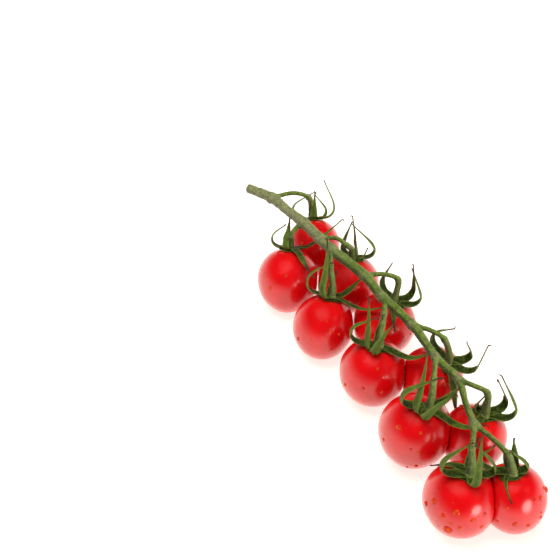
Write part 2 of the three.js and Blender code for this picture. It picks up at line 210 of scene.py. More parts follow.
# The fruits from the cut end to the tip. The numbers of a sepal are those of a SepalPlan, in its order.
FRUITS = (
    FruitPlan((-89, 1), 29.5, 32, 42, 155, 1, (-102.5, -5, 46.5), (-98.5, 2.5, 43.5), (
        (-118, 29, 152, 0.7, 0), (-28, 17, 85, 0.4, 0.1), (42, 20, 128, 0.65, 0),
        (50, 30, 112, 0.65, 0), (150, 15, 100, 0.5, 0))),
    FruitPlan((-71.6, -24.3), 32.4, 35, 33, 145, 3, (-79.5, -15, 44.5), (-79, -19, 41), (
        (72, 32, 42, 0.45, 0), (-10, 27, -30, 0.8, 0.1), (-60, 20, 120, 0.5, 0),
        (-130, 22, 140, 0.8, 0), (160, 20, 100, 0.5, 0))),
    FruitPlan((-55.5, 3.2), 33, 32, 19, 131, 4, (-61, -2, 46.5), (-57, 1.5, 43.5), (
        (57, 32, 142, 0.62, 0), (66, 26, 106, 0.12, -0.1), (35, 11, 75, 0.6, 0),
        (-160, 24, 105, 0.45, 0), (-30, 10, -30, 1, 0))),
    FruitPlan((-34.4, -24), 31, 34, 30, 124, 5, (-52, -10.5, 45.5), (-48, -13, 43), (
        (-122, 32, 140, 0.8, 0), (-70, 36, 116, 0.44, -0.6), (25, 33, 32, 0.8, 0),
        (88, 22, 50, 0.45, 0), (150, 16, 100, 0.5, 0))),
    FruitPlan((-21.5, 4.5), 32, 33, 14, 83, 6, (-27, 5, 47.5), (-22, 10, 46), (
        (85, 31, 112, 0.5, 0), (50, 34, 124, 0.6, 0), (-170, 25, 100, 0.65, 0),
        (-38, 16, -40, 1, 0.4), (20, 7, 85, 0.5, 0))),
    FruitPlan((3, -17.5), 33, 35, 10, 116, 7, (-12, -4, 46.5), (-7.5, -7, 45), (
        (-122, 33, 148, 0.82, 0), (-84, 29, 104, 0.4, -0.65), (-56, 28, 100, 0.5, 0.45),
        (30, 31, 50, 0.8, 0), (150, 18, 95, 0.5, 0))),
    FruitPlan((18, 6.5), 30, 33, 23, 35, 8, (14, 4.5, 47.5), (20.5, 8, 46), (
        (80, 30, 130, 0.58, 0), (42, 34, 105, 0.55, 0), (-160, 30, 115, 0.75, 0),
        (-15, 27, -50, 1, 0.4), (-40, 9, 80, 0.6, 0))),
    FruitPlan((42, -19), 34, 37, 13, 60, 9, (32, -5, 46), (37, -9, 45), (
        (-115, 38, 136, 0.7, 0), (-84, 35, 104, 0.4, -0.65), (-56, 29, 104, 0.5, 0.45),
        (90, 18, 55, 0.5, 0), (30, 28, 55, 0.9, 0))),
    FruitPlan((56.7, 3.7), 30, 33, 11, 89, 10, (49, 4, 46), (54.5, 7.5, 45), (
        (85, 34, 125, 0.5, 0), (50, 38, 127, 0.57, 0), (-150, 17, 105, 0.4, 0),
        (-65, 14, 25, 0.6, 0), (150, 11, 90, 0.5, 0))),
    FruitPlan((80.9, -21.2), 33, 34, 11, 106, 12, (69, -10, 42.5), (73.5, -14, 42), (
        (-26, 31, 118, 0.44, -0.05), (62, 30, 136, 0.57, 0), (-112, 34, 134, 0.75, 0),
        (-154, 18, -45, 0.9, 0), (150, 19, 80, 0.4, 0))),
    FruitPlan((91, 0), 29.5, 33, 14, -168, 12, (74, -4, 43), (83, -2.5, 42), (
        (66, 21, 130, 0.52, 0), (128, 19, 92, 0.25, 0), (175, 12, 80, 0.5, 0),
        (-90, 9, -50, 1, 2.4), (-130, 27, 132, 0.85, 0))),
)


@dataclass(frozen=True)
class Pose:
    """How a fruit stands: its middle, its axis towards the stem end, and two directions across it."""

    middle: Array
    axis: Array
    first: Array
    second: Array

    @staticmethod
    def of(plan: FruitPlan) -> "Pose":
        """Stands a fruit on the floor with a little of its underside flattened.

        Args:
            plan: the fruit's plan.

        Returns:
            Its pose.
        """
        lean, toward = math.radians(plan.lean), math.radians(plan.toward)
        axis = np.array((
            math.sin(lean) * math.cos(toward), math.sin(lean) * math.sin(toward), math.cos(lean)))
        first = unit(np.array((1.0, 0, 0)) - axis[0] * axis)
        height = Pose.reach_of(plan, axis, UP) - SETTLE
        return Pose(np.array((*plan.at, height)), axis, first, np.cross(axis, first))

    @staticmethod
    def reach_of(plan: FruitPlan, axis: Array, direction: Array) -> float:
        """How far a fruit with that axis reaches from its middle in one direction."""
        along = float(axis @ direction)
        return math.hypot(plan.width / 2 * math.sqrt(1 - along**2), plan.length / 2 * along)


@dataclass(frozen=True)
class Ball:
    """One of the balls, strung along a stem or a sepal, that a new sepal is bent clear of."""

    centre: Array
    radius: float
    owner: int = NOBODY


@dataclass(frozen=True)
class Crowd:
    """All the balls that are strung so far, as arrays."""

    centres: Array
    radii: Array
    owners: Array

    @staticmethod
    def of(balls: list[Ball]) -> "Crowd":
        """The crowd of those balls."""
        return Crowd(
            np.array([ball.centre for ball in balls]), np.array([ball.radius for ball in balls]),
            np.array([ball.owner for ball in balls]))


@dataclass(frozen=True)
class SepalPath:
    """The middle line of a sepal from the boss to its tip, and the direction of its width at the root."""

    points: Array
    side: Array
    length: float
    curl: float


@dataclass
class Growth:
    """The lines that the whole truss is built on: stem, pedicels, fruit poses and sepal paths."""

    # A pedicel's radius at its fork, above and below its knuckle, and at its calyx.
    pedicel_fork: float = 2.2
    pedicel_middle: float = 1.15
    pedicel_below: float = 1.5
    pedicel_end: float = 2.1
    # How far the thick ends of a pedicel reach, how far it runs straight, and how deep it ends in the boss.
    pedicel_fork_reach: float = 5.0
    pedicel_end_reach: float = 9.0
    pedicel_straight: float = 6.0
    pedicel_in_boss: float = 1.0
    # How high the boss's underside is over the bottom of the dimple.
    boss_lift: float = 0.6
    # Where a sepal starts, beside the axis and above the seat, and how many steps it grows in. It droops
    # by some degrees, until it starts to curl at a share of the way to its full curl.
    sepal_start: float = 1.2
    sepal_height: float = 1.3
    steps: int = 36
    sepal_droop: float = -12.0
    bend_start: float = 0.1
    # A sepal's width and thickness, its least width, and the power of its place that it tapers with.
    sepal_width: float = 5.2
    sepal_thickness: float = 0.9
    sepal_tip: float = 0.8
    sepal_taper: float = 1.4
    # The share of its width at the root, the place up to which it widens, and the length of a full one.
    root_share: float = 0.75
    root_end: float = 0.15
    full_length: float = 18.0
    # How many balls the stem and the two halves of a pedicel hold, and the place of a pedicel's last.
    stem_balls: int = 111
    upper_balls: int = 13
    lower_balls: int = 11
    last_ball: float = 0.95
    # How far a point may move while it passes the balls.
    drift: float = 4.0
    stem: SmoothLine = field(init=False)
    poses: list[Pose] = field(init=False)
    pedicels: list[SmoothLine] = field(init=False)
    sepals: list[list[SepalPath]] = field(init=False)
    balls: list[Ball] = field(init=False)

    def __post_init__(self) -> None:
        """Works the lines out, in the order in which the solids do."""
        self.stem = SmoothLine(STEM[:, :3])
        self.poses = [Pose.of(plan) for plan in FRUITS]
        self.pedicels = [self._pedicel(index) for index in range(len(FRUITS))]
        self.balls = self._strung()
        self.sepals = []
        places = np.arange(self.steps + 1) / self.steps
        for index, plan in enumerate(FRUITS):
            crowd = Crowd.of(self.balls)
            paths = [self._sepal_path(index, sepal, crowd) for sepal in plan.sepal_plans()]
            for path in paths:
                radii = self.width_of_sepal(path.length, places) / 3
                self.balls += [Ball(p, r, index) for p, r in zip(path.points, radii)]
            self.sepals.append(paths)

    def seat(self, index: int, up: float = 0.0) -> Array:
        """The underside of the boss in a fruit's dimple, or a point further up along the fruit's axis."""
        pose = self.poses[index]
        return pose.middle + pose.axis * (FRUITS[index].length / 2 - DIMPLE_DEPTH + self.boss_lift + up)

    def _pedicel(self, index: int) -> SmoothLine:
        """Lays the middle line of a pedicel from its fork to its fruit.

        Args:
            index: the fruit's number, from 0.

        Returns:
            The line.
        """
        plan = FRUITS[index]
        joint, end = np.array(plan.knuckle, float), self.seat(index, self.pedicel_in_boss)
        above = end + unit(unit(joint - end) + self.poses[index].axis) * self.pedicel_straight
        return SmoothLine(np.array((STEM[plan.fork, :3], plan.bend, joint, above, end)))

    def stem_radius(self, place: Array) -> Array:
        """Works out how thick the main stem is, stepping smoothly from point to point.

        Args:
            place: places along it.

        Returns:
            The radius at each place.
        """
        position = place * (len(STEM) - 1)
        before = np.minimum(position.astype(int), len(STEM) - 2)
        return mix(STEM[before, 3], STEM[before + 1, 3], smooth(position - before, 0, 1)) / 2

    def pedicel_radius(self, line: SmoothLine, place: Array) -> Array:
        """Works out how thick a pedicel is, with a swelling at its fork, knuckle and calyx.

        Args:
            line: its middle line.
            place: places along it.

        Returns:
            The radius at each place.
        """
        points = line.at(place)
        plain = np.where(place < KNUCKLE_PLACE, self.pedicel_middle, self.pedicel_below)
        radius = plain.copy()
        swellings = (
            (0.0, self.pedicel_fork, self.pedicel_fork_reach),
            (KNUCKLE_PLACE, KNUCKLE_RADIUS, KNUCKLE_REACH),
            (1.0, self.pedicel_end, self.pedicel_end_reach),
        )
        for other, thick, within in swellings:
            distance = np.linalg.norm(points - line.at(other), axis=1)
            radius += (thick - plain) * (1 - smooth(distance, 0, within))
        return radius

    def _strung(self) -> list[Ball]:
        """The balls along the stem and the pedicels, where a calyx owns those of its own half."""
        places = np.linspace(0, 1, self.stem_balls)
        balls = [Ball(p, r) for p, r in zip(self.stem.at(places), self.stem_radius(places))]
        for index, line in enumerate(self.pedicels):
            upper = (0.0, KNUCKLE_PLACE, self.upper_balls, NOBODY)
            lower = (KNUCKLE_PLACE, self.last_ball, self.lower_balls, index)
            for low, high, count, owner in (upper, lower):
                places = np.linspace(low, high, count)
                radii = self.pedicel_radius(line, places)
                balls += [Ball(p, r, owner) for p, r in zip(line.at(places), radii)]
        return balls

    def width_of_sepal(self, length: float, place: Array | float) -> Array:
        """Works out how wide a sepal is: narrow at its root, and tapering to its tip.

        Args:
            length: the sepal's length.
            place: a place from 0 at the root to 1 at the tip, or an array of them.

        Returns:
            The width at each place.
        """
        full = self.sepal_width * min(1.0, length / self.full_length)
        root = mix(self.root_share, 1, smooth(place, 0, self.root_end))
        return np.maximum(self.sepal_tip, full * root * (1 - place**self.sepal_taper))

    def _out_of_fruits(self, point: Array, index: int, radius: float) -> Array:
        """Moves a point of a sepal out of the fruits.

        Args:
            point: the point.
            index: the sepal's own fruit, which it may lie close on.
            radius: half of the room that the sepal needs there.

        Returns:
            The point, on the outside.
        """
        for j, (pose, plan) in enumerate(zip(self.poses, FRUITS)):
            offset = point - pose.middle
            along = float(offset @ pose.axis)
            across = math.sqrt(max(0.0, float(offset @ offset) - along**2))
            sunk = float(dimple(across)) if along > 0 else 0.0
            clearance = CLEARANCE + (self.sepal_thickness / 2 if j == index else radius)
            inside = math.hypot(
                across / (plan.width / 2 + clearance), (along + sunk) / (plan.length / 2 + clearance))
            if inside < 1:
                point = (offset + pose.axis * sunk) / inside + pose.middle - pose.axis * sunk
        return point

    def _off_balls(self, point: Array, index: int, radius: float, crowd: Crowd) -> Array:
        """Moves a point of a sepal off the stems and off other calyces' sepals.

        Args:
            point: the point.
            index: the sepal's own fruit, whose balls don't matter.
            radius: half of the room that the sepal needs there.
            crowd: the balls to pass.

        Returns:
            The point, clear of them.
        """
        reach = crowd.radii + CLEARANCE + radius
        near = np.linalg.norm(crowd.centres - point, axis=1) < reach + self.drift
        for k in np.nonzero(near & (crowd.owners != index))[0]:
            away = point - crowd.centres[k]
            distance = float(np.linalg.norm(away))
            if distance < reach[k]:
                point = point + away / distance * (reach[k] - distance)
        return point

    def _sepal_path(self, index: int, plan: SepalPlan, crowd: Crowd) -> SepalPath:
        """Grows one sepal step by step along the fruit's shoulder, and then up and back.

        Args:
            index: its fruit.
            plan: how it grows.
            crowd: the balls that it passes.

        Returns:
            Its middle line.
        """
        pose, angle = self.poses[index], math.radians(plan.direction)
        outward = pose.first * math.cos(angle) + pose.second * math.sin(angle)
        side = np.cross(pose.axis, outward)
        point = self.seat(index, self.sepal_height) + outward * self.sepal_start
        points, step = [point], plan.length / self.steps
        for i in range(1, self.steps + 1):
            place = i / self.steps
            turn = float(smooth(place, self.bend_start * plan.bent, plan.bent))
            heading = math.radians(mix(self.sepal_droop, plan.curl, turn))
            point = point + step * (
                outward * math.cos(heading) + pose.axis * math.sin(heading) + side * plan.sway * place)
            radius = float(self.width_of_sepal(plan.length, place)) / 3
            point = self._off_balls(self._out_of_fruits(point, index, radius), index, radius, crowd)
            points.append(point)
        return SepalPath(np.array(points), side, plan.length, plan.curl)

    def room(self, points: Array) -> Array:
        """Measures how far points are from the nearest fruit, nearly enough.

        Args:
            points: a row for each point.

        Returns:
            The distance of each.
        """
        found = np.full(len(points), np.inf)
        for pose, plan in zip(self.poses, FRUITS):
            offset = points - pose.middle
            along = offset @ pose.axis
            across = np.sqrt(np.maximum((offset**2).sum(1) - along**2, 0))
            share = np.hypot(across / (plan.width / 2), along / (plan.length / 2))
            found = np.minimum(found, (share - 1) * plan.width / 2)
        return found


def read_rows(items: bpy.types.bpy_prop_collection, name: str, kind: type = np.float32) -> Array:
    """Reads three numbers of each item of a mesh.

    Args:
        items: the mesh's collection, such as its vertices.
        name: what is read of each.
        kind: the numbers' kind.

    Returns:
        A row for each item.
    """
    numbers = np.zeros(len(items) * 3, kind)
    items.foreach_get(name, numbers)
    return numbers.reshape(-1, 3)


def points_of(mesh: bpy.types.Mesh) -> Array:
    """The points of a mesh in millimetres, in the stem's own coordinates."""
    return read_rows(mesh.vertices, "co").astype(float) / MM - SHIFT


def carry(mesh: bpy.types.Mesh, name: str, values: Array) -> None:
    """Lets the points of a mesh carry a value each, which materials read by its name."""
    mesh.attributes.new(name, "FLOAT", "POINT").data.foreach_set("value", values.astype(np.float32))


def carry_painted_light(mesh: bpy.types.Mesh) -> None:
    """Lets a stem's points carry how far they face the painted light, from 0 to 1."""
    # Painted light and shade: this value makes the green lighter on one side and darker on the other.
    carry(mesh, "lit", np.clip(0.5 + 0.5 * read_rows(mesh.vertex_normals, "vector") @ PAINTED_LIGHT_FROM, 0, 1))


def placed(name: str, data: bpy.types.ID) -> bpy.types.Object:
    """Places a mesh, a light or a camera in the scene.

    Args:
        name: the object's name.
        data: what it shows.

    Returns:
        The new object.
    """
    made = bpy.data.objects.new(name, data)
    bpy.context.scene.collection.objects.link(made)
    return made


@dataclass
class Skin:
    """A mesh being made: vertices in millimetres, faces, and values that each vertex carries."""

    points: Array
    faces: list[tuple[int, ...]]
    values: dict[str, Array] = field(default_factory=dict)

    def plus(self, other: "Skin") -> "Skin":
        """Joins another skin to this one.

        Args:
            other: the other skin. A value that only one of the two carries is 0 on the other.

        Returns:
            Both in one.
        """
        start, more = len(self.points), len(other.points)
        moved = [tuple(i + start for i in face) for face in other.faces]
        values = {
            name: np.concatenate([
                self.values.get(name, np.zeros(start)), other.values.get(name, np.zeros(more))])
            for name in {**self.values, **other.values}
        }
        return Skin(np.vstack([self.points, other.points]), self.faces + moved, values)

    def piece(self, name: str) -> bpy.types.Object:
        """Makes the object, in metres, in the part's frame.

        Args:
            name: the object's name.

        Returns:
            The new object, smooth all over, with each value as an attribute of its points.
        """
        mesh = bpy.data.meshes.new(name)
        mesh.from_pydata(((self.points + SHIFT) * MM).tolist(), [], self.faces)
        mesh.update()
        mesh.shade_smooth()
        for key, value in self.values.items():
            carry(mesh, key, value)
        return placed(name, mesh)


def loft(rings: Array) -> Skin:
    """A closed skin over rings of points, each with the same count, and a fan on each end.

    Args:
        rings: an array of rings by points by coordinates.

    Returns:
        The skin, with the middles of the first and the last ring as its last two points.
    """
    count, sides = rings.shape[:2]
    points = np.vstack([rings.reshape(-1, 3), rings[0].mean(0), rings[-1].mean(0)])
    faces = []
    for i in range(count - 1):
        for j in range(sides):
            a, b = i * sides + j, i * sides + (j + 1) % sides
            faces.append((a, b, b + sides, a + sides))
    first, last = len(points) - 2, len(points) - 1
    for j in range(sides):
        after = (j + 1) % sides
        faces.append((first, after, j))
        faces.append((last, (count - 1) * sides + j, (count - 1) * sides + after))
    return Skin(points, faces)


def tube(line: SmoothLine, places: Array, radii: Array, sides: int, ridges: float) -> Skin:
    """A tube along a line, with lengthwise ridges that wind a little.

    Args:
        line: its middle line.
        places: the places of its rings.
        radii: its radius at each ring.
        sides: the points of a ring.
        ridges: how high the ridges stand, as a share of the radius.

    Returns:
        The closed skin of the tube.
    """
    ridge_count, winding = 5, 3
    across = np.array((0.0, 1.0, 0.2))
    angles = turns(sides)
    rings = []
    for middle, along, radius, place in zip(line.at(places), line.direction(places), radii, places):
        across = unit(across - along * float(across @ along))
        swell = radius * (1 + ridges * np.cos(ridge_count * angles + winding * place))
        rings.append(middle + swell[:, None] * round_of(across, np.cross(along, across), angles))
    return loft(np.array(rings))


@dataclass(frozen=True)
class Blotches:
    """Blotches of one size in millimetres, between two levels of a noise, and how strongly they show."""

    size: float
    low: float
    high: float
    share: float = 1.0


def mottle_group() -> bpy.types.NodeTree:
    """Makes the shared group that gives blotches: a mask between 0 and 1, and a height for relief.

    Returns:
        The node tree, with inputs Size (of a blotch, in millimetres), Low and High.
    """
    tree = bpy.data.node_groups.new("mottle", "ShaderNodeTree")
    for name, value in (("Size", 4.0), ("Low", 0.4), ("High", 0.6)):
        socket = tree.interface.new_socket(name, in_out="INPUT", socket_type="NodeSocketFloat")
        socket.default_value = value
    for name in ("Mask", "Height"):
        tree.interface.new_socket(name, in_out="OUTPUT", socket_type="NodeSocketFloat")
    start, end = tree.nodes.new("NodeGroupInput"), tree.nodes.new("NodeGroupOutput")
    place = tree.nodes.new("ShaderNodeTexCoord")
    scale = tree.nodes.new("ShaderNodeMath")
    scale.operation = "DIVIDE"
    scale.inputs[0].default_value = 1 / MM
    noise = tree.nodes.new("ShaderNodeTexNoise")
    noise.inputs["Detail"].default_value = 4.0
    step = tree.nodes.new("ShaderNodeMapRange")
    step.interpolation_type = "SMOOTHSTEP"
    for output, socket in (
        (start.outputs["Size"], scale.inputs[1]),
        (place.outputs["Object"], noise.inputs["Vector"]),
        (scale.outputs[0], noise.inputs["Scale"]),
        (noise.outputs["Fac"], step.inputs["Value"]),
        (start.outputs["Low"], step.inputs["From Min"]),
        (start.outputs["High"], step.inputs["From Max"]),
        (step.outputs["Result"], end.inputs["Mask"]),
        (noise.outputs["Fac"], end.inputs["Height"]),
    ):
        tree.links.new(output, socket)
    return tree


# Where Blender's mix node takes the share and the two colours, and where it gives the blend.
MIX_INPUTS, MIX_OUTPUT = (0, 6, 7), 2


class Shader:
    """A material being made, with short names for the nodes that this scene uses."""

    def __init__(self, name: str, mottle: bpy.types.NodeTree | None = None) -> None:
        """Starts a material with a Principled shader and nothing linked to it.

        Args:
            name: the material's name.
            mottle: the shared blotch group, if the material has blotches.
        """
        self.material = bpy.data.materials.new(name)
        self.material.use_nodes = True
        self.tree = self.material.node_tree
        self.shader = self.tree.nodes["Principled BSDF"]
        self.mottle = mottle

    def set(self, **values: object) -> None:
        """Sets sockets of the shader, named in lower case with underscores."""
        for name, value in values.items():
            socket = name.replace("_", " ").title().replace("Ior", "IOR")
            self.shader.inputs[socket].default_value = value

    def node(
        self, kind: str, inputs: dict[str | int, object] | None = None, **settings: object
    ) -> bpy.types.Node:
        """Adds a node.

        Args:
            kind: the node's type.
            inputs: what goes into it, by socket name or number: a value, or another node's output.
            settings: its own settings.

        Returns:
            The node.
        """
        made = self.tree.nodes.new(kind)
        for name, value in settings.items():
            setattr(made, name, value)
        for name, value in (inputs or {}).items():
            self.feed(made.inputs[name], value)
        return made

    def feed(self, socket: bpy.types.NodeSocket, value: object) -> None:
        """Links an output to a socket, or sets its value."""
        if isinstance(value, bpy.types.NodeSocket):
            self.tree.links.new(value, socket)
        else:
            socket.default_value = value

    def carried(self, name: str) -> bpy.types.NodeSocket:
        """The value that each point carries under that name."""
        return self.node("ShaderNodeAttribute", attribute_name=name).outputs["Fac"]

    def ramp(self, value: object, span: Span, most: float = 1.0) -> bpy.types.NodeSocket:
        """A smooth step of a value, from 0 at the span's start to the most at its end."""
        inputs = {"Value": value, "From Min": span[0], "From Max": span[1], "To Max": most}
        return self.node("ShaderNodeMapRange", inputs, interpolation_type="SMOOTHSTEP").outputs["Result"]

    def reckon(self, operation: str, *values: object, clamp: bool = False) -> bpy.types.NodeSocket:
        """The result of a math node on up to three values, kept between 0 and 1 if it is clamped."""
        inputs = dict(enumerate(values))
        return self.node("ShaderNodeMath", inputs, operation=operation, use_clamp=clamp).outputs[0]

    def times(self, a: object, b: object) -> bpy.types.NodeSocket:
        """The product of two values."""
        return self.reckon("MULTIPLY", a, b)

    def rest(self, share: object) -> bpy.types.NodeSocket:
        """What a share leaves of 1."""
        return self.reckon("SUBTRACT", 1.0, share)

    def blend(self, share: object, low: object, high: object) -> bpy.types.NodeSocket:
        """A colour that share of the way from low to high."""
        inputs = dict(zip(MIX_INPUTS, (share, low, high)))
        return self.node("ShaderNodeMix", inputs, data_type="RGBA").outputs[MIX_OUTPUT]

    def blotches(self, kind: Blotches) -> bpy.types.Node:
        """Places the shared blotch group.

        Args:
            kind: the kind of blotches, with the group's values.

        Returns:
            The group's node.
        """
        made = self.node("ShaderNodeGroup", node_tree=self.mottle)
        for name, value in (("Size", kind.size), ("Low", kind.low), ("High", kind.high)):
            self.feed(made.inputs[name], value)
        return made

    def mask(self, kind: Blotches) -> bpy.types.NodeSocket:
        """Where the blotches of one kind lie, up to their share."""
        found = self.blotches(kind).outputs["Mask"]
        return found if kind.share == 1 else self.times(found, kind.share)

    def height(self, kind: Blotches) -> bpy.types.NodeSocket:
        """The relief of one kind of blotches."""
        return self.blotches(kind).outputs["Height"]

    def cover(
        self, colour: object, height: object = None, strength: float = 0.0, depth: float = 0.0
    ) -> None:
        """Gives the surface its colour and its relief.

        Args:
            colour: the colour.
            height: the relief's height, if it has any.
            strength: how strongly the relief shows, from 0 to 1.
            depth: how deep it is, in millimetres.
        """
        self.feed(self.shader.inputs["Base Color"], colour)
        if height is not None:
            inputs = {"Strength": strength, "Distance": depth * MM, "Height": height}
            self.feed(self.shader.inputs["Normal"], self.node("ShaderNodeBump", inputs).outputs["Normal"])


@dataclass(frozen=True)
class TomatoSkin:
    """The glossy waxed skin of a ripe tomato.

    Each point carries its place from 0 at the stem end to 1 at the blossom end.
    """

    red: Colour = (0.8, 0.003, 0.006, 1)
    deep: Colour = (0.72, 0.002, 0.005, 1)
    shoulder: Colour = (0.58, 0.006, 0.006, 1)
    fleck: Colour = (0.85, 0.05, 0.02, 1)
    scar: Colour = (0.16, 0.06, 0.02, 1)
    clouds: Blotches = Blotches(9.0, 0.38, 0.66)
    flecks: Blotches = Blotches(0.45, 0.66, 0.72, 0.35)
    pores: Blotches = Blotches(0.35, 0.3, 0.7)
    shoulder_ends: Span = (0.02, 0.2)
    shoulder_share: float = 0.4
    scar_starts: Span = (0.978, 0.99)

    def material(self, mottle: bpy.types.NodeTree) -> bpy.types.Material:
        """Makes the material.

        Args:
            mottle: the shared blotch group.

        Returns:
            The skin's material.
        """
        s = Shader("tomato skin", mottle)
        place = s.carried("place")
        colour = s.blend(s.mask(self.clouds), self.red, self.deep)
        colour = s.blend(s.mask(self.flecks), colour, self.fleck)
        upper = s.rest(s.ramp(place, self.shoulder_ends))
        colour = s.blend(s.times(upper, self.shoulder_share), colour, self.shoulder)
        colour = s.blend(s.ramp(place, self.scar_starts), colour, self.scar)
        s.cover(colour, s.height(self.pores), strength=0.06, depth=0.1)
        s.set(roughness=0.24, coat_weight=0.6, coat_roughness=0.2,
              subsurface_weight=0.12, subsurface_radius=(1.0, 0.25, 0.1), subsurface_scale=3 * MM)
        return s.material


@dataclass(frozen=True)
class StemSkin:
    """The matt, haired skin of the stem and the pedicels.

    Each point carries how far it is lit, worn and cut; how far it is lit gives the green its painted
    light and shade. The spans of `lit` say where the green begins out of the painted shade and is full,
    then its painted light side, then the painted highlight on it.
    """

    # The dark green: the painted shade on the side turned from the light, and the random dark grain.
    dark: Colour = (0.035, 0.06, 0.008, 1)
    green: Colour = (0.082, 0.145, 0.017, 1)
    # The lighter green: random patches, and the painted light on the side turned to the light.
    light: Colour = (0.24, 0.33, 0.06, 1)
    tan: Colour = (0.42, 0.39, 0.25, 1)
    speck: Colour = (0.08, 0.045, 0.025, 1)
    # A pale colour, for the random dust and for the painted highlight on the most lit side.
    bloom_and_painted_highlight: Colour = (0.36, 0.42, 0.19, 1)
    pith: Colour = (0.45, 0.47, 0.25, 1)
    patches: Blotches = Blotches(2.2, 0.4, 0.6, 0.6)
    fresh: Blotches = Blotches(1.6, 0.35, 0.6, 0.45)
    grain: Blotches = Blotches(0.8, 0.46, 0.58, 0.4)
    dust: Blotches = Blotches(0.6, 0.55, 0.66, 0.35)
    specks: Blotches = Blotches(0.55, 0.56, 0.66)
    lumps: Blotches = Blotches(0.6, 0.3, 0.7)
    green_lit: Span = (0.28, 0.74)
    light_lit: Span = (0.72, 0.95)
    painted_highlight_lit: Span = (0.88, 1.0)
    light_share: float = 0.8
    painted_highlight_share: float = 0.6
    specks_green: float = 0.25
    specks_worn: float = 0.6

    def material(self, mottle: bpy.types.NodeTree) -> bpy.types.Material:
        """Makes the material.

        Args:
            mottle: the shared blotch group.

        Returns:
            The stem's material.
        """
        s = Shader("stem skin", mottle)
        lit, worn = s.carried("lit"), s.carried("worn")
        colour = s.blend(s.mask(self.patches), self.green, self.light)
        # Painted shade: the dark green on the side turned away from the painted light.
        colour = s.blend(s.ramp(lit, self.green_lit), self.dark, colour)
        # Painted light: the lighter green on the side turned to it.
        colour = s.blend(s.ramp(lit, self.light_lit, self.light_share), colour, self.light)
        # Painted highlight: the pale colour on the most lit side.
        colour = s.blend(s.ramp(lit, self.painted_highlight_lit, self.painted_highlight_share), colour, self.bloom_and_painted_highlight)
        colour = s.blend(s.times(worn, s.rest(s.mask(self.fresh))), colour, self.tan)
        colour = s.blend(s.mask(self.grain), colour, self.dark)
        # Pale dust in random grains, in the same colour as the painted highlight.
        colour = s.blend(s.mask(self.dust), colour, self.bloom_and_painted_highlight)
        share = s.reckon("MULTIPLY_ADD", worn, self.specks_worn, self.specks_green)
        colour = s.blend(s.times(s.mask(self.specks), share), colour, self.speck)
        colour = s.blend(s.carried("cut"), colour, self.pith)
        s.cover(colour, s.height(self.lumps), strength=0.8, depth=0.3)
        s.set(roughness=0.5, specular_ior_level=0.25, sheen_weight=0.1, sheen_roughness=0.25,
              sheen_tint=(0.9, 0.97, 0.7, 1))
        return s.material


@dataclass(frozen=True)
class SepalLeaf:
    """A sepal: dark inside, paler outside and along its edges, dry and brown at the tip.

    Each point carries its place along the sepal and across it, how near it is to the rim, whether it is
    on the upper side, and how dry it is. The darker inner face is partly its own colour and partly painted
    shade; the dark middle and the dark near the root are painted shade of the fold and of the calyx's
    hollow, and the pale rim is painted light. The spans say where a sepal's dark middle ends, where its
    pale rim starts, and where it turns as light inside as outside.
    """

    # The dark inner green, which is also the painted shade of the blade's middle and of its root.
    inside: Colour = (0.022, 0.038, 0.006, 1)
    outside: Colour = (0.085, 0.145, 0.018, 1)
    # The pale green of the random patches and of the painted light along the edges.
    rim: Colour = (0.24, 0.32, 0.05, 1)
    dry: Colour = (0.06, 0.035, 0.02, 1)
    patches: Blotches = Blotches(1.5, 0.4, 0.7, 0.22)
    grain: Blotches = Blotches(0.5, 0.3, 0.7)
    middle_ends: Span = (0.1, 0.6)
    middle_share: float = 0.6
    lightens: Span = (0.3, 0.65)
    lighter: float = 0.75
    rim_starts: Span = (0.62, 0.95)
    rim_share: float = 0.6
    vein_rate: float = 22.0
    vein_height: float = 0.25

    def material(self, mottle: bpy.types.NodeTree) -> bpy.types.Material:
        """Makes the material.

        Args:
            mottle: the shared blotch group.

        Returns:
            The sepals' material.
        """
        s = Shader("sepal leaf", mottle)
        rim = s.carried("rim")
        # Painted shade: darker along the middle of the blade, in the valley of its fold.
        middle = s.rest(s.ramp(rim, self.middle_ends))
        # The upper face is darker: partly its own darker green, partly painted shade.
        dark = s.reckon("MULTIPLY_ADD", middle, self.middle_share, s.carried("upper"), clamp=True)
        # Painted shade: the dark is full near the root, in the hollow of the calyx, and fades towards the
        # tip.
        near_root = s.rest(s.ramp(s.carried("along"), self.lightens, self.lighter))
        colour = s.blend(s.times(dark, near_root), self.outside, self.inside)
        colour = s.blend(s.mask(self.patches), colour, self.rim)
        # Painted light: the pale colour along the edges.
        colour = s.blend(s.ramp(rim, self.rim_starts, self.rim_share), colour, self.rim)
        colour = s.blend(s.carried("dry"), colour, self.dry)
        veins = s.reckon("SINE", s.times(s.carried("across"), self.vein_rate))
        relief = s.reckon("MULTIPLY_ADD", veins, self.vein_height, s.height(self.grain))
        s.cover(colour, relief, strength=0.5, depth=0.15)
        s.set(roughness=0.5, specular_ior_level=0.2, sheen_weight=0.05, sheen_roughness=0.25,
              sheen_tint=(0.9, 0.97, 0.7, 1))
        return s.material


@dataclass(frozen=True)
class FineHair:
    """The pale down on everything green."""

    pale: Colour = (0.38, 0.46, 0.21, 1)
    shaded: Colour = (0.18, 0.24, 0.09, 1)
    patches: Blotches = Blotches(1.5, 0.3, 0.7)

    def material(self, mottle: bpy.types.NodeTree) -> bpy.types.Material:
        """Makes the material.

        Args:
            mottle: the shared blotch group.

        Returns:
            The hairs' material.
        """
        s = Shader("fine hair", mottle)
        s.cover(s.blend(s.mask(self.patches), self.pale, self.shaded))
        s.set(roughness=0.5)
        return s.material


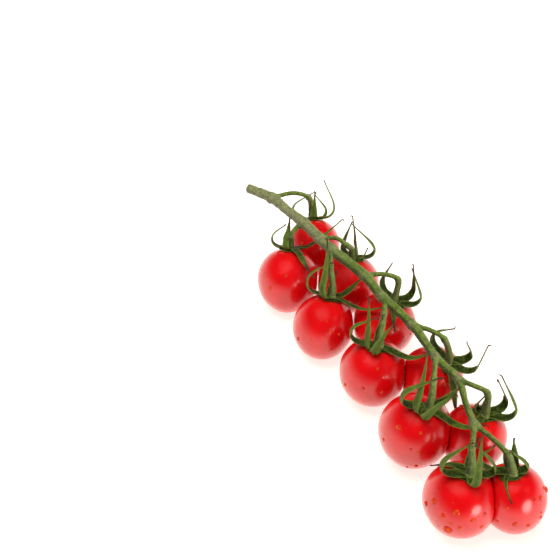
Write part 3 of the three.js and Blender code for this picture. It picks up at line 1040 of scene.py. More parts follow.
@dataclass(frozen=True)
class WaterDrop:
    """A drop of water, painted orange-red for the skin seen through it and the light it focuses."""

    bright: Colour = (0.88, 0.1, 0.014, 1)
    deep: Colour = (0.7, 0.014, 0.006, 1)
    patches: Blotches = Blotches(0.8, 0.35, 0.65)

    def material(self, mottle: bpy.types.NodeTree) -> bpy.types.Material:
        """Makes the material.

        Args:
            mottle: the shared blotch group.

        Returns:
            The drops' material.
        """
        s = Shader("water drop", mottle)
        # Painted light: the orange-red stands in for the skin seen through the water and the light the drop
        # focuses on it.
        s.cover(s.blend(s.mask(self.patches), self.bright, self.deep))
        s.set(roughness=0.04, ior=1.33, alpha=0.85)
        return s.material


@dataclass
class Fruit:
    """One tomato: a plum shape with a dimple, soft lobes, and flats where it presses on its neighbours."""

    growth: Growth
    index: int
    rings: int = 84
    sides: int = 112
    # Fine pleats round the dimple, down to an angle from the stem end.
    pleat_count: int = 11
    pleat_height: float = 0.1
    pleat_radius: float = 3.4
    pleat_reach: float = 1.6
    pleats_end: float = 1.0
    # Three slow waves over the whole skin: their height, the angle between one fruit's and the next's, and
    # how fast each runs along x, y and z, in radians for a millimetre.
    unevenness: float = 0.13
    wave_turn: float = 2.1
    waves: tuple[tuple[float, float, float], ...] = (
        (0.42, 0.13, -0.2), (-0.17, 0.39, 0.28), (0.1, -0.26, 0.5))

    def _contacts(self) -> list[tuple[Array, float]]:
        """Every plane on which the fruit presses on another, as a direction and a distance."""
        plan, own = FRUITS[self.index], self.growth.poses[self.index]
        found = []
        for j, (other, pose) in enumerate(zip(FRUITS, self.growth.poses)):
            if j == self.index:
                continue
            to_other = pose.middle - own.middle
            distance = float(np.linalg.norm(to_other))
            direction = to_other / distance
            mine = Pose.reach_of(plan, own.axis, direction)
            theirs = Pose.reach_of(other, pose.axis, direction)
            if mine + theirs + GAP > distance:
                found.append((direction, distance * mine / (mine + theirs) - GAP / 2))
        return found

    def _grown(self, theta: Array, phi: Array) -> Array:
        """The free shape of the fruit.

        Args:
            theta: angles from the stem end.
            phi: angles round the axis, as many.

        Returns:
            The points of the skin, from the fruit's middle.
        """
        plan, pose = FRUITS[self.index], self.growth.poses[self.index]
        radius = plan.width / 2 * np.sin(theta) * (1 + SHOULDER * np.cos(theta))
        point = POINT_HEIGHT * bell(radius, POINT_RADIUS)
        height = plan.length / 2 * np.cos(theta) - np.where(theta < math.pi / 2, dimple(radius), point)
        phase = first_draw(SEED + self.index) * 2 * math.pi
        pleats = self.pleat_height * bell(radius - self.pleat_radius, self.pleat_reach)
        height = height + pleats * (theta < self.pleats_end) * np.cos(self.pleat_count * phi + phase)
        radius = radius * (1 + LOBE_HEIGHT * np.cos(LOBE_COUNT * phi + phase))
        offset = (
            np.multiply.outer(radius * np.cos(phi), pose.first)
            + np.multiply.outer(radius * np.sin(phi), pose.second)
            + np.multiply.outer(height, pose.axis))
        turn = self.wave_turn * self.index
        wave = sum(np.sin(offset @ np.array(run) + i * turn) for i, run in enumerate(self.waves, 1))
        return offset + (self.unevenness * wave / len(self.waves))[..., None] * unit(offset + 1e-9)

    def surface(self, theta: Array, phi: Array) -> Array:
        """The fruit as it lies, pressed on its neighbours and on the floor.

        Args:
            theta: angles from the stem end.
            phi: angles round the axis, as many.

        Returns:
            The points of the skin.
        """
        offset = self._grown(theta, phi)
        for direction, limit in self._contacts():
            past = offset @ direction
            pressed = limit - PRESS_SOFTNESS * np.log1p(np.exp((limit - past) / PRESS_SOFTNESS))
            offset = offset + np.multiply.outer(pressed - past, direction)
        found = offset + self.growth.poses[self.index].middle
        found[..., 2] = np.maximum(found[..., 2], 0.0)
        return found

    def build(self) -> bpy.types.Object:
        """Builds the fruit's mesh, closed at both ends."""
        thetas = np.linspace(0, math.pi, self.rings + 1)[1:-1]
        theta, phi = np.meshgrid(thetas[::-1], turns(self.sides), indexing="ij")
        skin = loft(self.surface(theta, phi))
        skin.points[-2:] = self.surface(np.array((math.pi, 0.0)), np.zeros(2))
        skin.values["place"] = np.concatenate([theta.ravel() / math.pi, (1.0, 0.0)])
        return skin.piece(f"fruit_{self.index + 1:02d}")


@dataclass
class Stem:
    """The main stem and the upper half of every pedicel, grown into one skin."""

    growth: Growth
    rings: int = 420
    sides: int = 40
    ridges: float = 0.045
    pedicel_rings: int = 60
    pedicel_sides: int = 24
    pedicel_ridges: float = 0.03
    # Small swellings along the stem, each a height, a rate and a start, and the knots at the forks, whose
    # reach is a share of the way from one point of the stem to the next.
    swellings: tuple[tuple[float, float, float], ...] = ((0.035, 173.0, 0.0), (0.02, 311.0, 1.0))
    knot: float = 0.17
    knot_reach: float = 0.11
    # The grid on which the tubes grow together, and how it is smoothed.
    voxel: float = 0.28
    soften: float = 0.5
    passes: int = 12
    # Bark on the main stem: how much of it there is, the distance from the middle line at which nearness
    # ends, the points of that line, the nearness at which bark starts and is full, and where it ends in x.
    bark: float = 0.65
    bark_near: float = 7.0
    bark_line: int = 300
    bark_on_stem: Span = (0.45, 0.7)
    bark_ends: Span = (-80.0, -35.0)
    # Bark at the forks, and how deep the pale face of the cut goes.
    fork_worn: float = 0.75
    fork_reach: float = 4.5
    cut_depth: Span = (0.1, 0.4)

    def _tubes(self) -> Skin:
        """All the tubes, one into the other."""
        growth = self.growth
        places = np.linspace(0, 1, self.rings)
        rough = 1 + sum(height * np.sin(places * rate + start) for height, rate, start in self.swellings)
        for plan in FRUITS:
            rough += self.knot * bell(places * (len(STEM) - 1) - plan.fork, self.knot_reach)
        skin = tube(growth.stem, places, growth.stem_radius(places) * rough, self.sides, self.ridges)
        half = np.linspace(0, KNUCKLE_PLACE, self.pedicel_rings)
        for line in growth.pedicels:
            radii = growth.pedicel_radius(line, half)
            skin = skin.plus(tube(line, half, radii, self.pedicel_sides, self.pedicel_ridges))
        return skin

    def _joined(self, rough: bpy.types.Object) -> bpy.types.Mesh:
        """Joins the tubes by a fine grid, and smooths them where they meet.

        Args:
            rough: the piece with the tubes, which is deleted.

        Returns:
            The mesh of the whole stem.
        """
        join = rough.modifiers.new("join", "REMESH")
        join.mode, join.voxel_size = "VOXEL", self.voxel * MM
        soften = rough.modifiers.new("soften", "SMOOTH")
        soften.factor, soften.iterations = self.soften, self.passes
        graph = bpy.context.evaluated_depsgraph_get()
        mesh = bpy.data.meshes.new_from_object(rough.evaluated_get(graph))
        bpy.data.objects.remove(rough)
        mesh.shade_smooth()
        return mesh

    @staticmethod
    def _nearness(points: Array, centres: Array, within: float) -> Array:
        """How near points are to the nearest of some centres.

        Args:
            points: the points.
            centres: the centres.
            within: the distance at which nearness ends.

        Returns:
            The nearness of each point, from 1 on a centre to 0.
        """
        tree = KDTree(len(centres))
        for i, centre in enumerate(centres):
            tree.insert(centre, i)
        tree.balance()
        distance = np.array([tree.find(point)[2] for point in points])
        return 1 - smooth(distance, 0, within)

    def _worn(self, points: Array) -> Array:
        """Works out how much of the green has turned to bark.

        Args:
            points: the points of the stem.

        Returns:
            A share from 0 to 1 at each point.
        """
        line = self.growth.stem.at(np.linspace(0, 1, self.bark_line))
        old = (1 - smooth(points[:, 0], *self.bark_ends)) * smooth(
            self._nearness(points, line, self.bark_near), *self.bark_on_stem)
        forks = STEM[[plan.fork for plan in FRUITS], :3]
        at_forks = self._nearness(points, forks, self.fork_reach)
        return np.clip(self.bark * old + self.fork_worn * at_forks, 0, 1)

    def build(self) -> bpy.types.Object:
        """Builds the stem, with the painted light and shade and the wear that its points carry."""
        mesh = self._joined(self._tubes().piece("stem_rough"))
        mesh.name = "stem_and_pedicels"
        points = points_of(mesh)
        start, heading = self.growth.stem.at(0.0), self.growth.stem.direction(0.0)
        carry_painted_light(mesh)
        carry(mesh, "worn", self._worn(points))
        carry(mesh, "cut", 1 - smooth((points - start) @ heading, *self.cut_depth))
        return placed("stem_and_pedicels", mesh)


# The section of the star that joins the sepals' roots, up over its edge and back below: shares of its
# reach, and heights above the fruit.
STAR_SECTION = np.array((
    (0.3, 1.25), (0.55, 1.1), (0.8, 0.95), (0.94, 0.8), (1.0, 0.55), (0.94, 0.34), (0.8, 0.32), (0.55, 0.32),
    (0.3, 0.32)))
# The boss on the fruit, from its underside up: shares of its radius, and heights.
BOSS_SECTION = np.array(((0.6, 0.1), (0.9, 0.6), (1.0, 1.2), (0.9, 1.9), (0.7, 2.6)))


@dataclass(frozen=True)
class Spine:
    """A sepal's fine middle line: its points and their places, past 1 in the dry thread at its tip.

    At each point it has the direction along the sepal, and those across it and up from its upper side.
    """

    points: Array
    places: Array
    along: Array
    across: Array
    upper: Array


@dataclass
class Calyx:
    """The lower half of a pedicel with its boss, and the five sepals that spread from it."""

    growth: Growth
    index: int
    stalk_rings: int = 70
    stalk_sides: int = 28
    stalk_ridges: float = 0.035
    boss_radius: float = 2.7
    boss_sides: int = 30
    boss_lobes: int = 5
    boss_lobe_height: float = 0.06
    # How worn a stalk is: at its knuckle over a short reach, and a little all over.
    knuckle_worn: float = 0.6
    knuckle_reach: float = 2.0
    stalk_worn: float = 0.15
    # The star: its reach along a sepal and between two, and how wide each point of it is, in degrees.
    star_reach: float = 6.2
    star_between: float = 3.9
    star_spread: float = 24.0
    star_sides: int = 90
    # The blade: its points across half a side and its rings for one step of growth.
    half_points: int = 5
    stretch: int = 2
    # How high its edges are folded up at the root, the power of the rise from its middle to an edge, and
    # how far and where along it the fold turns over.
    fold: float = 0.9
    fold_power: float = 1.15
    fold_turns: float = 1.5
    fold_ends: Span = (0.3, 0.75)
    # Its thickness at the root and the tip, and the share of it that is gone at an edge.
    thick_root: float = 0.75
    thick_tip: float = 0.55
    edge: float = 0.75
    # The groove under its middle, and the waves of its edges with their count along it.
    groove: float = 0.16
    groove_width: float = 0.16
    wave: float = 0.16
    wave_rates: Span = (2.0, 3.5)
    # How many degrees its free part turns to the light, from where on it, and how far from a fruit.
    twist: float = 12.0
    twist_starts: Span = (0.2, 0.6)
    twist_room: Span = (1.5, 4.0)
    # The dry thread: its length for a sepal of full length, its rings, width and lowest height, where it is
    # down to its width, and the shares of its length and the degrees of its curl that are drawn.
    thread: float = 2.4
    thread_full: float = 26.0
    thread_rings: int = 14
    thread_width: float = 0.32
    thread_lowest: float = 0.4
    thread_ends: Span = (1.0, 1.8)
    thread_shares: Span = (0.5, 1.1)
    thread_curls: Span = (90.0, 280.0)
    # Where a tip starts to be dry: earlier on a long sepal that hangs down.
    dry_hanging: float = 0.6
    dry_starts: Span = (0.76, 0.9)
    dry_reach: float = 0.15
    long_sepal: float = 15.0

    def build_stalk(self) -> bpy.types.Object:
        """Builds the lower half of the pedicel and the boss."""
        line, pose = self.growth.pedicels[self.index], self.growth.poses[self.index]
        places = np.linspace(KNUCKLE_PLACE, 1, self.stalk_rings)
        radii = self.growth.pedicel_radius(line, places)
        angles = turns(self.boss_sides)
        lobes = 1 + self.boss_lobe_height * np.cos(self.boss_lobes * angles)
        round_boss = self.boss_radius * lobes[:, None] * round_of(pose.first, pose.second, angles)
        rings = self.growth.seat(self.index) + np.array([
            pose.axis * height + share * round_boss for share, height in BOSS_SECTION])
        skin = tube(line, places, radii, self.stalk_sides, self.stalk_ridges).plus(loft(rings))
        joint = np.linalg.norm(skin.points - line.at(KNUCKLE_PLACE), axis=1)
        worn = self.stalk_worn + self.knuckle_worn * (1 - smooth(joint, 0, self.knuckle_reach))
        skin.values = {"worn": worn, "cut": np.zeros(len(skin.points))}
        made = skin.piece(f"stalk_{self.index + 1:02d}")
        # The stalk carries the painted light and shade of the stem's green as well.
        carry_painted_light(made.data)
        return made

    def _thread(self, path: SepalPath, end: Array, draw: np.random.Generator) -> Array:
        """The dry thread at a sepal's tip, which curls to a side of its own.

        Args:
            path: the sepal.
            end: its last few fine points.
            draw: the calyx's stream of draws.

        Returns:
            The thread's points.
        """
        heading, point = unit(end[-1] - end[0]), end[-1]
        bend = unit(np.cross(heading, draw.normal(size=3)))
        length = self.thread * draw.uniform(*self.thread_shares) * min(1.0, path.length / self.thread_full)
        turn = math.radians(draw.uniform(*self.thread_curls)) / self.thread_rings
        points = []
        for _ in range(self.thread_rings):
            heading = unit(heading * math.cos(turn) + np.cross(bend, heading) * math.sin(turn))
            point = point + heading * length / self.thread_rings
            point[2] = max(point[2], self.thread_lowest)
            points.append(point)
        return np.array(points)

    def _spine(self, path: SepalPath, draw: np.random.Generator) -> Spine:
        """Draws out the fine middle line of a sepal.

        Args:
            path: the sepal.
            draw: the calyx's stream of draws.

        Returns:
            The line, with its directions.
        """
        places = np.linspace(0, 1, self.growth.steps * self.stretch + 1)
        blade = SmoothLine(path.points).at(places)
        points = np.vstack([blade, self._thread(path, blade[-4:], draw)])
        places = np.concatenate([places, 1 + np.arange(1, self.thread_rings + 1) / self.thread_rings])
        count, apart, follows_from = len(points), 3, 0.9
        number = np.arange(count)
        along = unit(points[np.minimum(number + apart, count - 1)] - points[np.maximum(number - apart, 0)])
        across = np.empty_like(along)
        for i in range(count):
            near = path.side if places[i] < follows_from else across[i - 1]
            across[i] = unit(near - along[i] * float(near @ along[i]))
        return self._turned(Spine(points, places, along, across, np.cross(along, across)))

    def _turned(self, spine: Spine) -> Spine:
        """Turns the free part of a blade a little to the light that it grew in.

        Args:
            spine: the blade's middle line.

        Returns:
            The same line, with its width turned.
        """
        light = unit(FACES_TO)
        wanted = unit(light - spine.along * (spine.along @ light)[:, None])
        wanted *= np.where((wanted * spine.upper).sum(1) < 0, -1.0, 1.0)[:, None]
        sine = (np.cross(spine.upper, wanted) * spine.along).sum(1)
        angle = np.arctan2(sine, (spine.upper * wanted).sum(1))
        free = smooth(self.growth.room(spine.points), *self.twist_room)
        most = math.radians(self.twist) * smooth(spine.places, *self.twist_starts) * free
        angle = np.clip(angle, -most, most)[:, None]
        across = spine.across * np.cos(angle) + spine.upper * np.sin(angle)
        return Spine(spine.points, spine.places, spine.along, across, np.cross(spine.along, across))

    def _star(self) -> Skin:
        """The thin star that joins the roots of the sepals and lies on the fruit round the boss."""
        plan, pose = FRUITS[self.index], self.growth.poses[self.index]
        angles = turns(self.star_sides)
        reach = np.full(len(angles), self.star_between)
        for sepal in plan.sepal_plans():
            off = np.angle(np.exp(1j * (angles - math.radians(sepal.direction))))
            reach += (self.star_reach - reach) * bell(off, math.radians(self.star_spread))
        rings, section = [], STAR_SECTION[::-1]
        for share, lift in section:
            radius = reach * share
            widest = plan.width / 2 * (1 + SHOULDER)
            height = plan.length / 2 * np.sqrt(1 - (radius / widest) ** 2) - dimple(radius) + lift
            rings.append(
                pose.middle + radius[:, None] * round_of(pose.first, pose.second, angles)
                + np.outer(height, pose.axis))
        skin = loft(np.array(rings))
        count = len(section)
        near_rim, rim, inner = 0.9, 0.6, 0.3
        # The star's inner rings and its upper face take the sepals' painted shade; its edge stays lighter.
        per_ring = {
            "rim": np.where(section[:, 0] > near_rim, rim, inner),
            "upper": (np.arange(count) > count // 2).astype(float),
            "across": np.zeros(count),
            "dry": np.zeros(count)}
        for name, values in per_ring.items():
            skin.values[name] = np.concatenate([np.repeat(values, len(angles)), (values[0], values[-1])])
        return skin

    def _width(self, path: SepalPath, places: Array) -> Array:
        """Works out a sepal's width, where the thread at its tip is thinner still.

        Args:
            path: the sepal.
            places: places along it.

        Returns:
            The width at each place.
        """
        blade = self.growth.width_of_sepal(path.length, np.minimum(places, 1))
        thread = mix(self.growth.sepal_tip, self.thread_width, smooth(places, *self.thread_ends))
        return np.where(places > 1, thread, blade)

    def _faces(self, spine: Spine, width: Array, s: Array, draw: np.random.Generator) -> tuple[Array, Array]:
        """Shapes the upper and the lower face of a blade, folded along its middle and waved at its edges.

        Args:
            spine: the blade's middle line.
            width: its width at each place.
            s: places across it, from -1 to 1.
            draw: the calyx's stream of draws.

        Returns:
            The height of each face above the middle line, a row for each place along the blade.
        """
        phase, rate = draw.uniform(0, 2 * math.pi, 2), draw.uniform(*self.wave_rates)
        starts = phase[(s > 0).astype(int)][None, :]
        wave = self.wave * np.sin(2 * math.pi * rate * spine.places[:, None] + starts)
        share = (width / self.growth.sepal_width)[:, None]
        fold = self.fold * share * (1 - self.fold_turns * smooth(spine.places, *self.fold_ends))[:, None]
        rise = fold * np.abs(s) ** self.fold_power + wave * share * s**2
        thick = np.minimum(mix(self.thick_root, self.thick_tip, np.minimum(spine.places, 1)), width)
        rounded = thick[:, None] / 2 * (1 - self.edge * s**2)
        return rise + rounded, rise - rounded - self.groove * bell(s, self.groove_width) * fold

    def _dryness(self, path: SepalPath, places: Array, draw: np.random.Generator) -> Array:
        """Draws how dry a sepal is.

        Args:
            path: the sepal.
            places: places along it.
            draw: the calyx's stream of draws.

        Returns:
            A share from 0 to 1 at each place.
        """
        hanging = path.curl < 0 and path.length > self.long_sepal
        starts = self.dry_hanging if hanging else draw.uniform(*self.dry_starts)
        return smooth(places, starts, starts + self.dry_reach)

    def _sepal(self, path: SepalPath, draw: np.random.Generator) -> Skin:
        """Makes one sepal: a folded blade with a thread for a tip.

        Args:
            path: its course.
            draw: the calyx's stream of draws.

        Returns:
            Its skin, closed, with what its points carry.
        """
        spine = self._spine(path, draw)
        width = self._width(path, spine.places)
        s = np.linspace(-1, 1, 2 * self.half_points - 1)
        top, low = self._faces(spine, width, s, draw)
        dry, blade = self._dryness(path, spine.places, draw), np.minimum(spine.places, 1)
        # Once round a ring: over the upper face, and back below it without the two edges again.
        back = s[-2:0:-1]
        around = np.concatenate([s, back])
        heights = np.concatenate([top, low[:, -2:0:-1]], axis=1)
        upper = np.concatenate([np.ones(len(s)), np.zeros(len(back))])
        offsets = width[:, None] / 2 * around
        rings = (
            spine.points[:, None, :] + spine.across[:, None, :] * offsets[..., None]
            + spine.upper[:, None, :] * heights[..., None])
        skin = loft(rings[:, ::-1])
        carried = {
            "rim": np.abs(around)[None, :], "upper": upper[None, :], "across": around[None, :],
            "dry": dry[:, None], "along": blade[:, None]}
        for name, values in carried.items():
            values = np.broadcast_to(values, heights.shape)[:, ::-1]
            skin.values[name] = np.concatenate([values.ravel(), (values[0].mean(), values[-1].mean())])
        return skin

    def build_sepals(self) -> bpy.types.Object:
        """Builds the star and the five sepals in one mesh."""
        draw = np.random.default_rng(SEED * 100 + self.index)
        skin = self._star()
        for path in self.growth.sepals[self.index]:
            skin = skin.plus(self._sepal(path, draw))
        return skin.piece(f"sepals_{self.index + 1:02d}")


@dataclass
class Down:
    """Fine pale hairs that stand on a green piece, each a thin cone with its root in the skin."""

    count: int
    length: float = 0.7
    radius: float = 0.02
    lengths: Span = (0.5, 1.3)
    lean: float = 0.45
    sunk: float = 0.05

    def _roots(self, mesh: bpy.types.Mesh, draw: np.random.Generator) -> tuple[Array, Array]:
        """Scatters the roots evenly over a mesh.

        Args:
            mesh: the mesh that the hairs stand on.
            draw: the stream of draws.

        Returns:
            The roots, and the direction out of the skin at each.
        """
        mesh.calc_loop_triangles()
        corners, triangles = points_of(mesh), read_rows(mesh.loop_triangles, "vertices", np.int32)
        a, b, c = (corners[triangles[:, k]] for k in range(3))
        normals = np.cross(b - a, c - a)
        areas = np.linalg.norm(normals, axis=1)
        chosen = draw.choice(len(areas), self.count, p=areas / areas.sum())
        u, v = draw.random((2, self.count, 1))
        u, v = np.where(u + v > 1, 1 - u, u), np.where(u + v > 1, 1 - v, v)
        root = a[chosen] + (b - a)[chosen] * u + (c - a)[chosen] * v
        return root, unit(normals[chosen])

    def build(self, on: bpy.types.Object, name: str, seed: int) -> bpy.types.Object:
        """Grows the hairs on a piece.

        Args:
            on: the piece that they stand on.
            name: the new object's name.
            seed: the seed of the draws.

        Returns:
            The object that holds all the hairs.
        """
        draw = np.random.default_rng(seed)
        root, outward = self._roots(on.data, draw)
        heading = unit(outward + self.lean * draw.normal(size=(self.count, 3)))
        across = unit(np.cross(heading, UP + 0.01))
        up = np.cross(heading, across)
        tip = root + heading * self.length * draw.uniform(*self.lengths, (self.count, 1))
        points = [tip]
        for angle in turns(3):
            side = across * math.cos(angle) + up * math.sin(angle)
            points.append(root - outward * self.sunk + self.radius * side)
        points = np.stack(points, axis=1).reshape(-1, 3)
        points[:, 2] = np.maximum(points[:, 2], 0.0)
        faces = [
            (4 * i + x, 4 * i + y, 4 * i + z)
            for i in range(self.count) for x, y, z in ((0, 1, 2), (0, 2, 3), (0, 3, 1), (1, 3, 2))]
        return Skin(points, faces).piece(name)


@dataclass(frozen=True)
class DropPlan:
    """The drops on one fruit: large ones as degrees from the stem end, degrees round and a radius."""

    large: tuple[tuple[float, float, float], ...]
    small: int


DROPS = (
    DropPlan(((80, -60, 0.8),), 4),
    DropPlan(((70, -40, 0.8), (95, -70, 1.0)), 5),
    DropPlan(((78, -34, 0.9), (70, -37, 0.5)), 5),
    DropPlan(((75, -27, 0.8), (79, -9, 0.8), (110, -15, 1.0), (112, -93, 1.1), (100, -60, 0.6)), 8),
    DropPlan(((70, 20, 0.7), (80, 80, 0.8)), 5),
    DropPlan(((42, -32, 0.7), (80, -52, 0.9), (81, -20, 0.8), (96, -88, 0.9), (61, 8, 0.5)), 8),
    DropPlan(((40, -28, 1.1), (72, 18, 0.8)), 5),
    DropPlan(((55, -87, 1.2), (41, -44, 0.8), (70, -48, 0.7), (70, -34, 0.9), (100, -28, 1.0),
              (94, -95, 0.9), (71, -147, 0.7), (45, -19, 0.6)), 12),
    DropPlan(((20, 75, 0.7), (55, -172, 0.9)), 8),
    DropPlan(((70, -93, 1.4), (62, -51, 1.5), (78, -68, 1.2), (99, -54, 2.1), (85, -39, 0.9), (83, -53, 0.8),
              (69, -22, 1.2), (62, -2, 0.8), (84, -5, 0.8), (88, -104, 1.2)), 14),
    DropPlan(((57, 9, 0.7), (61, 50, 0.8), (88, -34, 1.2), (62, 25, 1.1), (70, 56, 1.4), (95, -13, 0.9),
              (90, -65, 0.9), (93, 14, 0.8), (59, -47, 0.6)), 14),
)


@dataclass
class Drops:
    """Drops of water on one fruit: flattened domes with their edges sunk in the skin."""

    growth: Growth
    index: int
    plan: DropPlan
    # The small ones: their radius, where they lie in degrees from the stem end, and the lowest height.
    smallest: float = 0.25
    largest: float = 0.7
    lie_between: Span = (45.0, 125.0)
    lowest: float = 3.0
    # A dome: its height as a share of its radius, how far it sags, and the angles of its rings.
    height: float = 0.55
    sag: float = 0.18
    dome_ends: Span = (-0.25, math.pi / 2 - 0.08)
    rings: int = 8
    sides: int = 20

    def build(self) -> bpy.types.Object:
        """Lays the large drops at their places, and scatters the small ones over the fruit's sides."""
        fruit = Fruit(self.growth, self.index)
        draw = np.random.default_rng(SEED * 1000 + self.index)
        wanted = list(self.plan.large)
        for _ in range(self.plan.small):
            size = mix(self.smallest, self.largest, draw.random() ** 2)
            wanted.append((draw.uniform(*self.lie_between), draw.uniform(0, 360), size))
        skin, near = Skin(np.empty((0, 3)), []), 0.01
        for down, turn, size in wanted:
            theta, phi = math.radians(down), math.radians(turn)
            thetas, phis = np.array((theta, theta + near, theta)), np.array((phi, phi, phi + near))
            centre, below, beside = fruit.surface(thetas, phis)
            if centre[2] >= self.lowest:
                outward = unit(np.cross(below - centre, beside - centre))
                skin = skin.plus(self._dome(centre, outward, size))
        return skin.piece(f"drops_{self.index + 1:02d}")

    def _dome(self, centre: Array, outward: Array, size: float) -> Skin:
        """Makes one drop, a little longer on the side that it sags to.

        Args:
            centre: its place on the skin.
            outward: the direction out of the skin there.
            size: its radius.

        Returns:
            Its skin.
        """
        down = unit(-UP + outward * float(UP @ outward) + 1e-6)
        angles = turns(self.sides)
        longer = 1 + self.sag * np.maximum(np.cos(angles), 0)
        outline = longer[:, None] * round_of(down, np.cross(outward, down), angles)
        return loft(np.array([
            centre + outward * size * self.height * math.sin(part) + size * math.cos(part) * outline
            for part in np.linspace(*self.dome_ends, self.rings)]))


@dataclass(frozen=True)
class SoftLight:
    """A soft oval light: its place and size in metres, its power, and whether the skins mirror it."""

    name: str
    at: tuple[float, float, float]
    size: tuple[float, float]
    watts: float
    mirrored: bool
    colour: tuple[float, float, float] = (1.0, 0.96, 0.9)
    aim: tuple[float, float, float] = (0.0, 0.0, 0.02)

    def build(self) -> None:
        """Makes the light, which faces the middle of the truss."""
        data = bpy.data.lights.new(self.name, "AREA")
        data.shape, data.energy, data.color = "ELLIPSE", self.watts, self.colour
        data.size, data.size_y = self.size
        lamp = placed(self.name, data)
        lamp.location = self.at
        lamp.rotation_mode = "QUATERNION"
        lamp.rotation_quaternion = (Vector(self.aim) - Vector(self.at)).to_track_quat("-Z", "Y")
        lamp.visible_glossy = self.mirrored


@dataclass(frozen=True)
class Studio:
    """The camera, the pale floor and the soft lights, in metres."""

    eye: tuple[float, float, float] = (0.2474, -0.1855, 0.3844)
    heading: tuple[float, float, float] = (-0.6133, 0.3261, -0.7193)
    lens: float = 61.6
    floor_size: float = 6.0
    # The floor as it is seen and as it lights the fruits: its colour, and how much it glows.
    seen: Colour = (0.66, 0.64, 0.61, 1)
    seen_glow: float = 0.8
    lighting: Colour = (0.78, 0.74, 0.68, 1)
    lighting_glow: float = 0.38
    glow_colour: Colour = (1, 0.95, 0.88, 1)
    lights: tuple[SoftLight, ...] = (
        SoftLight("softbox", (1.65, 0.28, 0.42), (0.95, 0.82), 11.5, mirrored=True),
        SoftLight("above", (-0.1, -0.16, 0.9), (0.8, 0.8), 8.4, mirrored=False),
        SoftLight("beside", (0.45, 0.45, 0.75), (0.4, 0.4), 1.4, mirrored=False),
    )
    # The room: bright at the level of the floor, and dim from a height up.
    room_colour: Colour = (1.0, 0.95, 0.89, 1)
    room_height: float = 0.4
    room_low: float = 1.0
    room_high: float = 0.03

    def build_camera(self) -> None:
        """Makes the scene's camera, at the height and the angle of the photograph."""
        data = bpy.data.cameras.new("camera")
        data.lens, data.clip_start, data.clip_end = self.lens, 0.01, 50.0
        camera = placed("camera", data)
        camera.location = self.eye
        camera.rotation_mode = "QUATERNION"
        camera.rotation_quaternion = Vector(self.heading).to_track_quat("-Z", "Y")
        bpy.context.scene.camera = camera

    def build_floor(self) -> None:
        """Makes the floor, a plain white sheet that glows a little as a lit table does."""
        half = self.floor_size / 2
        corners = [(-half, -half, 0), (half, -half, 0), (half, half, 0), (-half, half, 0)]
        mesh = bpy.data.meshes.new("floor")
        mesh.from_pydata(corners, [], [(0, 1, 2, 3)])
        floor = placed("floor", mesh)
        s = Shader("white table")
        soft = s.node("ShaderNodeLightPath").outputs["Is Diffuse Ray"]
        s.cover(s.blend(soft, self.seen, self.lighting))
        glow = s.node("ShaderNodeMapRange", {
            "Value": soft, "To Min": self.seen_glow, "To Max": self.lighting_glow})
        s.feed(s.shader.inputs["Emission Strength"], glow.outputs["Result"])
        s.set(roughness=0.6, emission_color=self.glow_colour)
        mesh.materials.append(s.material)

    def build_room(self) -> None:
        """Makes the soft light of the room, which lights the sides of the truss."""
        world = bpy.data.worlds.new("room")
        world.use_nodes = True
        bpy.context.scene.world = world
        tree = world.node_tree
        place = tree.nodes.new("ShaderNodeTexCoord")
        parts = tree.nodes.new("ShaderNodeSeparateXYZ")
        step = tree.nodes.new("ShaderNodeMapRange")
        levels = {"From Max": self.room_height, "To Min": self.room_low, "To Max": self.room_high}
        for name, value in levels.items():
            step.inputs[name].default_value = value
        sky = tree.nodes["Background"]
        tree.links.new(place.outputs["Generated"], parts.inputs[0])
        tree.links.new(parts.outputs["Z"], step.inputs["Value"])
        tree.links.new(step.outputs["Result"], sky.inputs["Strength"])
        sky.inputs["Color"].default_value = self.room_colour


def dress(piece: bpy.types.Object, material: bpy.types.Material, slot: Slot | None, *nodes: str) -> None:
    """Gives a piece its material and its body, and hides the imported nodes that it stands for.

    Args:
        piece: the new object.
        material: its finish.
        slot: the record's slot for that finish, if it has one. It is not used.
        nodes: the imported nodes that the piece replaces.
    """
    piece.data.materials.append(material)
    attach(piece, "root")
    if nodes:
        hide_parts(*nodes)
    LOG.info("%s: %d faces", piece.name, len(piece.data.polygons))


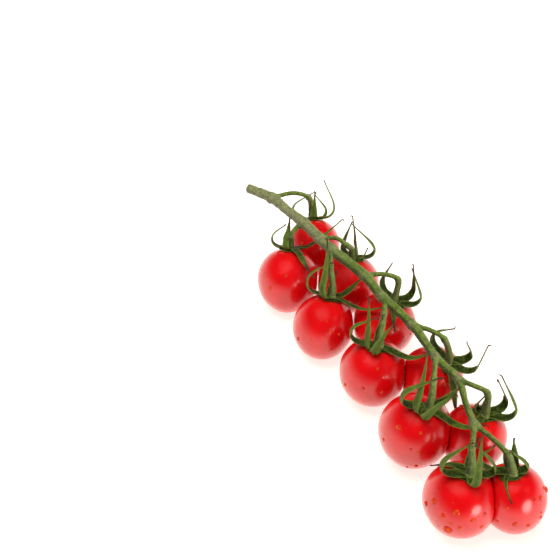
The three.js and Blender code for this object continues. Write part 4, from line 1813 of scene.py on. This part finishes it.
@dataclass
class Truss:
    """The whole truss in its finishes."""

    growth: Growth
    skin: bpy.types.Material
    stem_skin: bpy.types.Material
    leaf: bpy.types.Material
    hair: bpy.types.Material
    water: bpy.types.Material
    stem_down: Down = field(default_factory=lambda: Down(16000, 0.85))
    stalk_down: Down = field(default_factory=lambda: Down(700))
    sepal_down: Down = field(default_factory=lambda: Down(900, 0.5, 0.022))

    def build_stem(self) -> None:
        """Builds the stem with its hairs."""
        stem = Stem(self.growth).build()
        dress(stem, self.stem_skin, Slot.STEM, "stem")
        dress(self.stem_down.build(stem, "stem_down", SEED), self.hair, Slot.STEM)

    def build_fruit(self, index: int, drops: DropPlan) -> None:
        """Builds one fruit with its calyx, its hairs and its drops.

        Args:
            index: the fruit's number, from 0.
            drops: the drops on it.
        """
        number = f"{index + 1:02d}"
        dress(Fruit(self.growth, index).build(), self.skin, Slot.SKIN, f"tomato_{number}")
        calyx = Calyx(self.growth, index)
        stalk, sepals = calyx.build_stalk(), calyx.build_sepals()
        dress(stalk, self.stem_skin, Slot.STEM)
        dress(sepals, self.leaf, Slot.SEPAL, f"calyx_{number}")
        on_stalk = self.stalk_down.build(stalk, f"stalk_down_{number}", SEED + index)
        dress(on_stalk, self.hair, Slot.STEM)
        on_sepals = self.sepal_down.build(sepals, f"sepal_down_{number}", SEED + 50 + index)
        dress(on_sepals, self.hair, Slot.SEPAL)
        dress(Drops(self.growth, index, drops).build(), self.water, None)


def main() -> None:
    """Builds the truss and the studio."""
    logging.basicConfig(level=logging.INFO, format="%(message)s")
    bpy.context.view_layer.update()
    bpy.context.scene.view_settings.view_transform = "Standard"
    studio = Studio()
    studio.build_camera()
    mottle = mottle_group()
    finishes = (TomatoSkin(), StemSkin(), SepalLeaf(), FineHair(), WaterDrop())
    truss = Truss(Growth(), *(finish.material(mottle) for finish in finishes))
    truss.build_stem()
    for index, drops in enumerate(DROPS):
        truss.build_fruit(index, drops)
    studio.build_floor()
    for light in studio.lights:
        light.build()
    studio.build_room()


if __name__ == "__main__":
    main()
